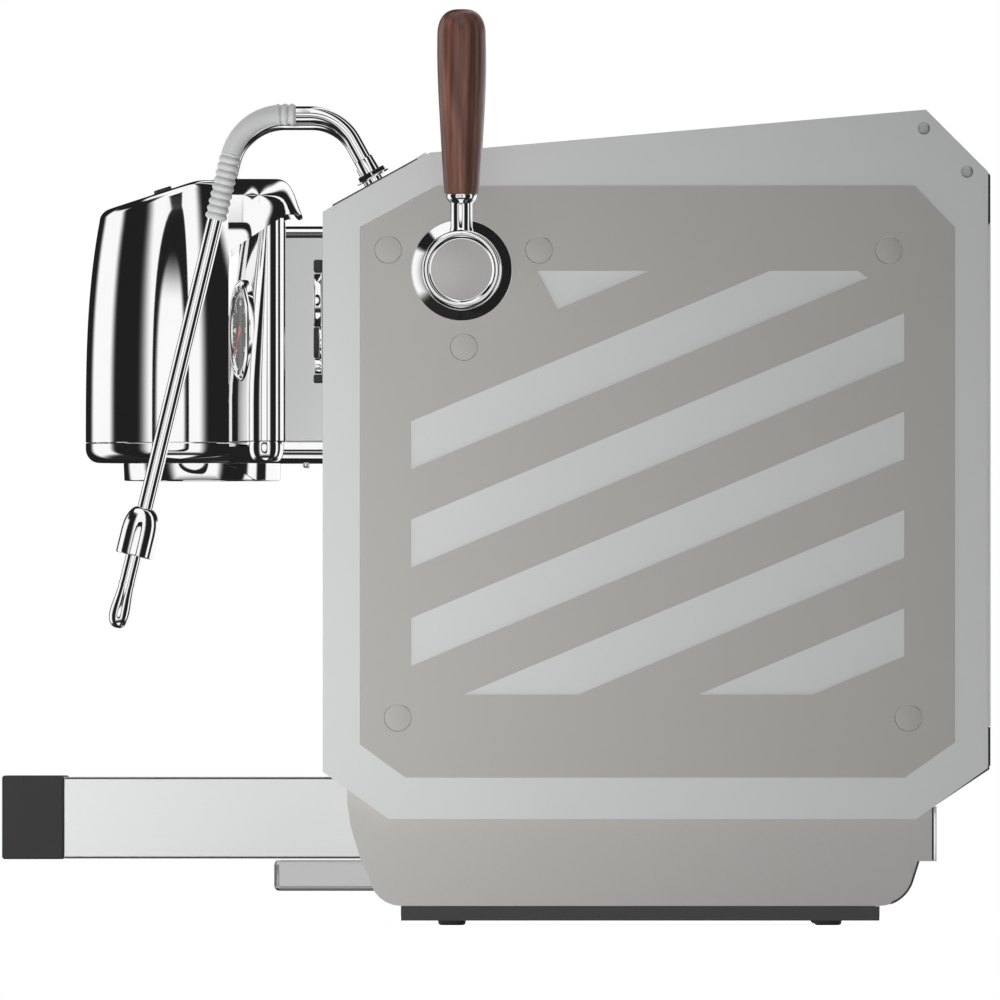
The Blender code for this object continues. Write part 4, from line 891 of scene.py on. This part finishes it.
def make_nut(x, body, name, replaces=(), hexagonal=True):
    """What holds a pipe to the sloping panel: a washer, a collar and, on the wand, a hexagonal nut."""
    normal = slope_normal()
    seat = Vector((x, *SLOPE_EXIT)) + normal * 0.0013
    place = Matrix.Translation(seat) @ normal.to_track_quat("Z", "Y").to_matrix().to_4x4()
    washer = eased([(0.0057, 0.0), (0.0108, 0.0), (0.0108, 0.001), (0.0057, 0.001)], 0.0003, 2)
    turned(name + "_washer", washer, place, CHROME, body, replaces, closed=True)
    collar = eased([(0.0053, 0.001), (0.0062, 0.001), (0.0059, 0.013), (0.0053, 0.0132)], 0.0003, 2)
    turned(name + "_collar", collar, place, CHROME, body, closed=True)
    if not hexagonal:
        return
    form = prism(arc((0, 0), 0.0102, 0, 300, 5), 0.001, 0.004)
    nut = piece(name + "_hexagon", form, CHROME, body, place=place)
    hole = lathe([(0, -0.01), (0.0063, -0.01), (0.0063, 0.02), (0, 0.02)], 48)
    cut(nut, hole, "nut_bore", place)
    bevelled(nut, 0.0005, 3, 35)


def sleeve_radius(index, total):
    """The sleeve's outer radius: ribs at both ends, a plain bend between them, and thin lips."""
    pitch, root, left = 12.2, 0.0057, total - 1 - index
    radius = 0.006
    if left < pitch * 9.3:
        radius = root + 0.00105 * (0.5 - 0.5 * math.cos(2 * math.pi * left / pitch)) ** 0.6
    elif index < pitch * 2.6:
        radius = root + 0.00095 * (0.5 - 0.5 * math.cos(2 * math.pi * index / pitch)) ** 0.6
    end = min(index, left)
    return min(radius, 0.0054 + 0.0003 * end) if end < 3 else radius


def make_sleeve(route):
    """The soft sleeve that the wand is held by."""
    points = spaced(route, 0.00036)
    covered = [point for point in points if point.x < SLEEVE_START_Y and point.y > SLEEVE_END_Z]
    outer = [sleeve_radius(index, len(covered)) for index in range(len(covered))]
    bore = covered[::6] + [covered[-1]]
    rings = swept(covered, outer, WAND_X, 40)
    rings += swept(bore, [WAND_R + 0.0001] * len(bore), WAND_X, 40)[::-1]
    piece("grip_sleeve", loft(rings, closed=True), SILICONE, "wand", ["wand_sleeve"])


def make_wand():
    route = make_pipe(WAND_X, WAND_END_Z, "wand", "wand_pipe", "steam_pipe")
    make_nut(WAND_X, "root", "steam_nut", ["wand_nut"])
    make_sleeve(route)
    turn = end_turn(route)
    share = (route[-2].y - BELL_Z) / (route[-2].y - route[-1].y)
    place = Matrix.Translation((WAND_X, *route[-2].lerp(route[-1], share))) @ turn
    bell = [(0.0053, 0.0004), (0.0062, 0.0002), (0.0078, -0.0014), (0.0091, -0.0034), (0.0101, -0.0058)]
    bell += [(0.0108, -0.0084), (0.0112, -0.0114), (0.0114, -0.015), (0.0114, -0.0288)]
    bell += [(0.011, -0.0294), (0.0104, -0.0292), (0.0101, -0.015), (0.0092, -0.011), (0.0053, -0.01)]
    bell = eased(bell, 0.0008, 3)
    turned("wand_guard", bell, place, CHROME, "wand", ["wand_bell"], 96, closed=True)
    tip = [(0.0, 0.0002), (0.0052, 0.0002), (0.0053, -0.001), (0.0051, -0.0022), (0.0051, -0.0034)]
    tip += [(0.0056, -0.009), (0.0063, -0.014), (0.0066, -0.018), (0.0065, -0.021), (0.0059, -0.0238)]
    tip += [(0.0048, -0.026), (0.0032, -0.0275), (0.0016, -0.0281), (0.0, -0.0282)]
    place = Matrix.Translation((WAND_X, *route[-1])) @ turn
    nozzle = turned("wand_nozzle", tip, place, CHROME, "wand", ["wand_tip"])
    for angle in (45, 135, 225, 315):
        hole = lathe([(0, -0.004), (0.0008, -0.004), (0.0008, 0.004), (0, 0.004)], 20)
        aim = Matrix.Translation((0, 0, -0.0262)) @ Matrix.Rotation(math.radians(angle), 4, "Z")
        aim = aim @ Matrix.Translation((0.0042, 0, 0)) @ Matrix.Rotation(math.radians(130), 4, "Y")
        cut(nozzle, hole, "steam_hole", place @ aim)


def make_spout():
    route = make_pipe(-WAND_X, SPOUT_END_Z, "spout", "spout_pipe", "water_pipe")
    make_nut(-WAND_X, "spout", "water_nut", hexagonal=False)
    place = Matrix.Translation((-WAND_X, *route[-1])) @ end_turn(route)
    outlet = [(0.0, 0.014), (0.0054, 0.014), (0.0066, 0.0128), (0.0068, 0.011), (0.0068, 0.0)]
    outlet += [(0.0064, -0.0014), (0.0046, -0.0014), (0.0042, 0.001), (0.0, 0.001)]
    turned("water_outlet", outlet, place, CHROME, "spout")


# ---- controls and fittings


def control_place(z):
    """A seat on the control strip at this height, its Z axis toward the operator."""
    return Matrix.Translation((CONTROL_X, CONTROL_SEAT_Y, z)) @ Matrix.Rotation(math.pi / 2, 4, "X")


def make_controls():
    """A strip with raised ends, and on it a knob with a mark, a button and a lamp."""
    low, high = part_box("control_plate")
    rear_y = high.y + GAP
    first, last = (low.x, rear_y - 0.0006, low.z), (high.x, rear_y, high.z)
    strip("control_sheet", first, last, BLACK, edge=0.0002, replaces=["control_plate"])
    for name, bottom, top, edge in (("top", 0.3966, high.z, 0.0014), ("low", low.z, 0.3345, 0.001)):
        first, last = (low.x + 0.001, low.y, bottom), (high.x - 0.001, rear_y, top)
        strip("control_end_" + name, first, last, BLACK, edge=edge)
    knob = [(0.0, 0.0024), (0.0118, 0.0024), (0.0126, 0.0026), (0.015, 0.0026), (0.0158, 0.0022)]
    knob += [(0.0161, 0.0014), (0.0161, -0.0018), (0.0157, -0.0022), (0.0, -0.0022)]
    knob = eased(knob, 0.0002, 2)
    place = control_place(KNOB_Z)
    body, node = "thermostat_knob", ["temperature_knob"]
    turned("heat_knob", knob, place, CHROME, body, node, 144, sharp=25)
    outline = [(-0.0005, 0.007), (0.0005, 0.007), (0.0005, 0.0122), (-0.0005, 0.0122)]
    mark = prism(eased(outline, 0.0004), 0.0022, 0.00275)
    piece("heat_knob_mark", mark, RED, body, place=place)
    key = [(0.0, 0.0021), (0.005, 0.0022), (0.008, 0.0026), (0.0088, 0.0025), (0.0094, 0.0019)]
    key += [(0.0094, -0.0006), (0.004, -0.0006), (0.004, -0.001), (0.0, -0.001)]
    place = control_place(KEY_Z)
    turned("power_key_cap", key, place, BLACK, "power_key", ["power_button"], 72)
    rim = eased([(0.0096, -0.0022), (0.0104, -0.0022), (0.0102, -0.0009), (0.0097, -0.0009)], 0.0003, 2)
    turned("power_key_rim", rim, place, CHROME, steps=72, closed=True)
    place = control_place(LAMP_Z)
    lens = [(0, 0.0014), (0.0016, 0.0012), (0.0026, 0.0007), (0.0029, 0.0), (0, -0.0004)]
    turned("ready_lamp", lens, place, LAMP, steps=48)
    rim = eased([(0.003, -0.0022), (0.0048, -0.0022), (0.0046, 0.0018), (0.0031, 0.0018)], 0.0002, 2)
    turned("ready_lamp_rim", rim, place, CHROME, steps=48, closed=True)


def make_screw(name, place, radius, material):
    """A low round head with a cross recess."""
    head = [(0.0, 0.0009), (radius * 0.5, 0.00082), (radius * 0.8, 0.0006), (radius * 0.96, 0.0003)]
    head += [(radius, 0.0), (radius, -0.0004), (0.0, -0.0004)]
    screw = turned(name, head, place, material)
    for quarter in (0, 90):
        arm = block((radius * 1.15, radius * 0.24, 0.0014), (0, 0, 0.0008))
        cut(screw, arm, "cross", place @ Matrix.Rotation(math.radians(quarter), 4, "Z"))


def make_side_fittings():
    plug = [(0.0, 0.00012), (0.0076, 0.00012), (0.0079, 0.00004), (0.0079, -0.0002), (0.0, -0.0002)]
    rim = [(0.0079, -0.0002), (0.008, 0.0001), (0.0081, 0.0002), (0.0083, 0.0001), (0.0084, -0.0002)]
    for side, suffix in SIDES:
        facing = Matrix.Rotation(side * math.pi / 2, 4, "Y")
        for index, (y, z) in enumerate(SCREWS):
            place = Matrix.Translation((side * SCREW_FACE, y, z)) @ facing
            make_screw(f"side_screw_{suffix}_{index}", place, 0.0037, SCREW)
        for index, (y, z) in enumerate(PLUGS):
            place = Matrix.Translation((side * INSET_FACE, y, z)) @ facing
            turned(f"side_plug_{suffix}_{index}", plug, place, WARM, steps=72)
            turned(f"side_plug_rim_{suffix}_{index}", rim, place, STEEL, steps=72, closed=True)


def make_feet():
    for name in ("front_left", "front_right", "rear_left", "rear_right"):
        low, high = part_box("foot_" + name)
        middle = (low + high) / 2
        radius = (high.x - low.x) / 2
        tall = high.z - low.z
        profile = [(0.0, 0.0), (radius * 0.8, 0.0), (radius * 0.94, 0.0006), (radius, 0.0016)]
        profile += [(radius, tall * 0.46), (radius * 0.9, tall * 0.5), (radius * 0.74, tall * 0.54)]
        profile += [(radius * 0.74, tall), (0.0, tall)]
        place = Matrix.Translation((middle.x, middle.y, low.z))
        turned("pad_" + name, profile, place, RUBBER, replaces=["foot_" + name])


def make_slope_lip():
    """The top panel's edge, folded down over the upper end of the dark slope."""
    foot, top = Vector(SLOPE_LOW), Vector(SLOPE_HIGH)
    uphill = (top - foot).normalized()
    normal = Vector((-uphill.y, uphill.x))
    low, high = foot + uphill * 0.0602, foot + uphill * 0.0667
    outline = [low - normal * 0.0002, high - normal * 0.0002, high + normal * 0.0015, low + normal * 0.0014]
    piece("slope_lip", extruded(outline, -0.1826, 0.1826), SILVER)


def make_rear_trim():
    """The thin plates seen edge-on behind the base and under the rear chamfer, and on each side a dark
    crescent over the base's rear lower corner: painted shade where that rounded corner darkens.
    """
    strip("rear_skirt", (-0.17, 0.2656, 0.0389), (0.17, 0.2675, 0.0724), CHROME, edge=0.0005)
    sill = [(0.26, 0.0682), (0.2985, 0.0953), (0.2993, 0.0966), (0.2996, 0.095), (0.299, 0.0944)]
    piece("rear_sill", extruded(sill, -0.178, 0.178), BLACK)
    # The black crescent on each side is painted shade along the base's rounded rear corner.
    corner = (0.2325, 0.0333)
    outline = arc(corner, 0.0217, 288, 341, 16) + [(0.257, 0.0388)]
    outline += [(0.2557, 0.0388)] + arc(corner, 0.0205, 338, 292, 14)
    for side, suffix in SIDES:
        piece("base_corner_shade_" + suffix, extruded(outline, side * 0.18, side * 0.1827), BLACK)


def make_tray_shade_lines():
    """Thin dark strips along the tray's upper and lower edges: painted shade, standing in for the shadow
    lines at those edges.
    """
    low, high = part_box("tray_body")
    for side, suffix in SIDES:
        edge = high.x * side
        ends = sorted((edge, edge + side * 0.0004))
        for level, z in (("top", high.z - 0.0008), ("low", low.z + 0.0008)):
            first = (ends[0], low.y + 0.0002, z - 0.0005)
            last = (ends[1], high.y - 0.002, z + 0.0005)
            # Each strip is painted shade, a dark line where the tray's edge is shadowed.
            strip(f"tray_shade_line_{level}_{suffix}", first, last, CARBON, "drip_tray", 0.00015)


# ---- stage, light and camera

# Brightness of the room, of the studio in reflections, and of the floor as the camera sees it.
AMBIENT, STUDIO_WHITE, FLOOR_GLOW = 0.12, 1.05, 0.8
# The dark arch that the nose reflects: half its width, height and sideways shift, in degrees.
ARCH_WIDE, ARCH_TALL, ARCH_SHIFT = 22.5, 25.0, 12.0
ARCH_INNER_WIDE, ARCH_INNER_TALL = 21.0, 17.2


def keep_reflections_clean():
    """Polished metal shows the studio and the nose, and not the rest of the machine."""
    for obj in bpy.context.scene.objects:
        if obj.type not in ("LIGHT", "CAMERA") and obj.name != "nose_cover":
            obj.visible_glossy = False


def make_stage():
    form = bmesh.new()
    bmesh.ops.create_grid(form, x_segments=2, y_segments=2, size=1.4)
    floor = bpy.data.objects.new("floor", mesh_of(form, "floor"))
    COLLECTION.objects.link(floor)
    paper = Surface("floor_paper", 0.7)
    speck = paper.noise(4.0)
    paper.colours(speck, [(0.3, (0.74, 0.74, 0.74)), (0.7, (0.78, 0.78, 0.78))])
    paper.shader.inputs["Emission Color"].default_value = (1, 1, 1, 1)
    glow = paper.node("ShaderNodeMath", operation="MULTIPLY")
    glow.inputs[1].default_value = FLOOR_GLOW
    paper.link(paper.node("ShaderNodeLightPath").outputs["Is Camera Ray"], glow, 0)
    paper.link(glow.outputs[0], paper.shader, "Emission Strength")
    floor.data.materials.append(paper.material)


def lamp(name, place, aim, size, power, shadow=True):
    light = bpy.data.lights.new(name, "AREA")
    light.shape = "RECTANGLE"
    light.size, light.size_y = size
    light.energy = power
    obj = bpy.data.objects.new(name, light)
    obj.location = place
    obj.rotation_euler = (Vector(aim) - Vector(place)).to_track_quat("-Z", "Y").to_euler()
    COLLECTION.objects.link(obj)
    obj.visible_camera = False
    obj.visible_glossy = False
    light.use_shadow = shadow


class Sky:
    """The studio round the object: white, with dark boards that polished metal shows as bands.

    around and rise are the angles of a direction, in degrees: around from +X toward the
    operator, and rise up from the horizon.
    """

    def __init__(self):
        world = bpy.data.worlds.new("studio")
        bpy.context.scene.world = world
        world.use_nodes = True
        world.cycles.sampling_method = "NONE"
        self.tree = world.node_tree
        self.tree.nodes.clear()

    def math(self, operation, first, second=None, third=None, clamp=False):
        node = self.tree.nodes.new("ShaderNodeMath")
        node.operation = operation
        node.use_clamp = clamp
        for socket, value in zip(node.inputs, (first, second, third)):
            if isinstance(value, (int, float)):
                socket.default_value = value
            elif value is not None:
                self.tree.links.new(value, socket)
        return node.outputs[0]

    def times(self, first, second):
        return self.math("MULTIPLY", first, second)

    def less(self, first, second, clamp=False):
        return self.math("SUBTRACT", first, second, clamp=clamp)

    def darkest(self, first, *others):
        for other in others:
            first = self.math("MAXIMUM", first, other)
        return first

    def step(self, value, start, end):
        """0 before start and 1 after end, or the reverse where end is lower."""
        node = self.tree.nodes.new("ShaderNodeMapRange")
        node.interpolation_type = "SMOOTHSTEP"
        filled(node, From_Min=min(start, end), From_Max=max(start, end))
        filled(node, To_Min=float(end <= start), To_Max=float(end > start))
        self.tree.links.new(value, node.inputs["Value"])
        return node.outputs["Result"]

    def band(self, value, low_out, low_in, high_in, high_out):
        return self.times(self.step(value, low_out, low_in), self.step(value, high_out, high_in))

    def boards(self, around, rise):
        """Upright boards at the front, the rear and the far side, and one high in front."""
        front = self.times(self.band(around, 36, 57, 84, 98), self.step(rise, 60, 44))
        high_front = self.times(self.step(around, 70, 90), self.band(rise, 22, 32, 46, 52))
        back = self.times(around, -1.0)
        rear, last_rear = self.band(back, 22, 37, 67, 74), self.band(back, 86, 92, 106, 112)
        high_rear = self.times(self.band(back, 86, 92, 128, 152), self.step(rise, 3, 14))
        turned_round = self.times(self.math("LESS_THAN", around, 0.0), 360.0)
        behind = self.band(self.math("ADD", around, turned_round), 130, 146, 182, 191)
        return self.darkest(front, rear, last_rear, high_rear, behind, high_front)

    def dome(self, rise, tall, power):
        """1 at the horizon, falling to 0 at the top of an arch this many degrees tall."""
        climb = self.times(rise, 1 / tall)
        return self.math("POWER", self.less(1.0, self.times(climb, climb), clamp=True), power)

    def arch(self, around, rise):
        """A dark arch on the +X side, open below inside its legs."""
        swell = self.dome(rise, ARCH_TALL, 0.38)
        across = self.math("ABSOLUTE", self.less(around, self.times(swell, ARCH_SHIFT)))
        outside = self.step(self.less(across, self.times(swell, ARCH_WIDE)), -0.6, 0.6)
        inner_wide = self.times(self.dome(rise, ARCH_INNER_TALL, 0.5), ARCH_INNER_WIDE)
        inside = self.times(self.step(self.less(inner_wide, across), 0, 6), self.step(rise, 18, 9))
        return self.less(self.less(1.0, outside), inside, clamp=True)

    def ground(self, around, rise):
        """Dark below the horizon, but for a bright table top at the foot of the +X side."""
        facing = self.step(self.math("ABSOLUTE", around), 85, 65)
        table = self.times(facing, self.step(rise, -50, -60))
        return self.times(self.less(self.step(rise, -24, -44), table, clamp=True), 0.92)

    def mixed(self, factor, first, second):
        other = self.times(self.less(1.0, factor), first)
        return self.math("ADD", other, self.times(factor, second))

    def build(self):
        coordinates = self.tree.nodes.new("ShaderNodeTexCoord")
        split = self.tree.nodes.new("ShaderNodeSeparateXYZ")
        self.tree.links.new(coordinates.outputs["Generated"], split.inputs[0])
        x, y, z = split.outputs
        degrees = 180 / math.pi
        around = self.times(self.math("ARCTAN2", self.times(y, -1.0), x), degrees)
        rise = self.times(self.math("ARCSINE", z), degrees)
        dark = self.darkest(self.boards(around, rise), self.arch(around, rise), self.ground(around, rise))
        clear = self.math("POWER", self.less(1.0, dark, clamp=True), 2.0)
        darkness = 0.015
        bright = self.math("MULTIPLY_ADD", clear, (1 - darkness) * STUDIO_WHITE, darkness * STUDIO_WHITE)
        path = self.tree.nodes.new("ShaderNodeLightPath").outputs
        lit = self.mixed(path["Is Glossy Ray"], AMBIENT, bright)
        seen = self.mixed(path["Is Camera Ray"], lit, 1.0)
        background = self.tree.nodes.new("ShaderNodeBackground")
        background.inputs["Color"].default_value = (1, 1, 1, 1)
        out = self.tree.nodes.new("ShaderNodeOutputWorld")
        self.tree.links.new(seen, background.inputs["Strength"])
        self.tree.links.new(background.outputs[0], out.inputs["Surface"])


def make_camera():
    """A long lens low beside the machine, square to its right side and tipped up a little."""
    camera = bpy.data.cameras.new("camera")
    camera.sensor_width = 36.0
    camera.lens = 1500.0
    frame_width, middle_z, eye_z, sharp_x = 0.608, 0.2584, 0.1, 0.13
    distance = frame_width * camera.lens / camera.sensor_width
    tip = math.atan2(middle_z - eye_z, distance)
    camera.clip_end = 60.0
    obj = bpy.data.objects.new("camera", camera)
    obj.location = (sharp_x + distance, 0.0024, eye_z)
    obj.rotation_euler = (math.pi / 2 + tip, 0, math.pi / 2)
    COLLECTION.objects.link(obj)
    bpy.context.scene.camera = obj


def main():
    dress_nodes()
    make_nose()
    make_wing()
    make_head_base()
    make_hood()
    make_neck_trim()
    make_group_ring()
    make_gauges()
    make_lever(1, "steam")
    make_lever(-1, "water")
    make_wand()
    make_spout()
    make_controls()
    make_side_fittings()
    make_feet()
    make_slope_lip()
    make_rear_trim()
    make_tray_shade_lines()
    make_stage()
    keep_reflections_clean()
    lamp("key", (1.0, -0.6, 0.08), (0.19, -0.08, 0.2), (0.5, 0.7), 9.8, shadow=False)
    lamp("fill", (-1.2, -1.3, 0.8), (0.0, 0.0, 0.25), (1.2, 1.2), 16.0)
    lamp("top", (-0.4, -0.1, 1.9), (0.0, 0.0, 0.3), (1.2, 1.2), 16.0)
    lamp("rim", (-0.3, 1.9, 1.2), (0.0, 0.1, 0.3), (1.2, 1.2), 14.0)
    Sky().build()
    make_camera()
    bpy.context.scene.view_settings.view_transform = "Standard"


main()
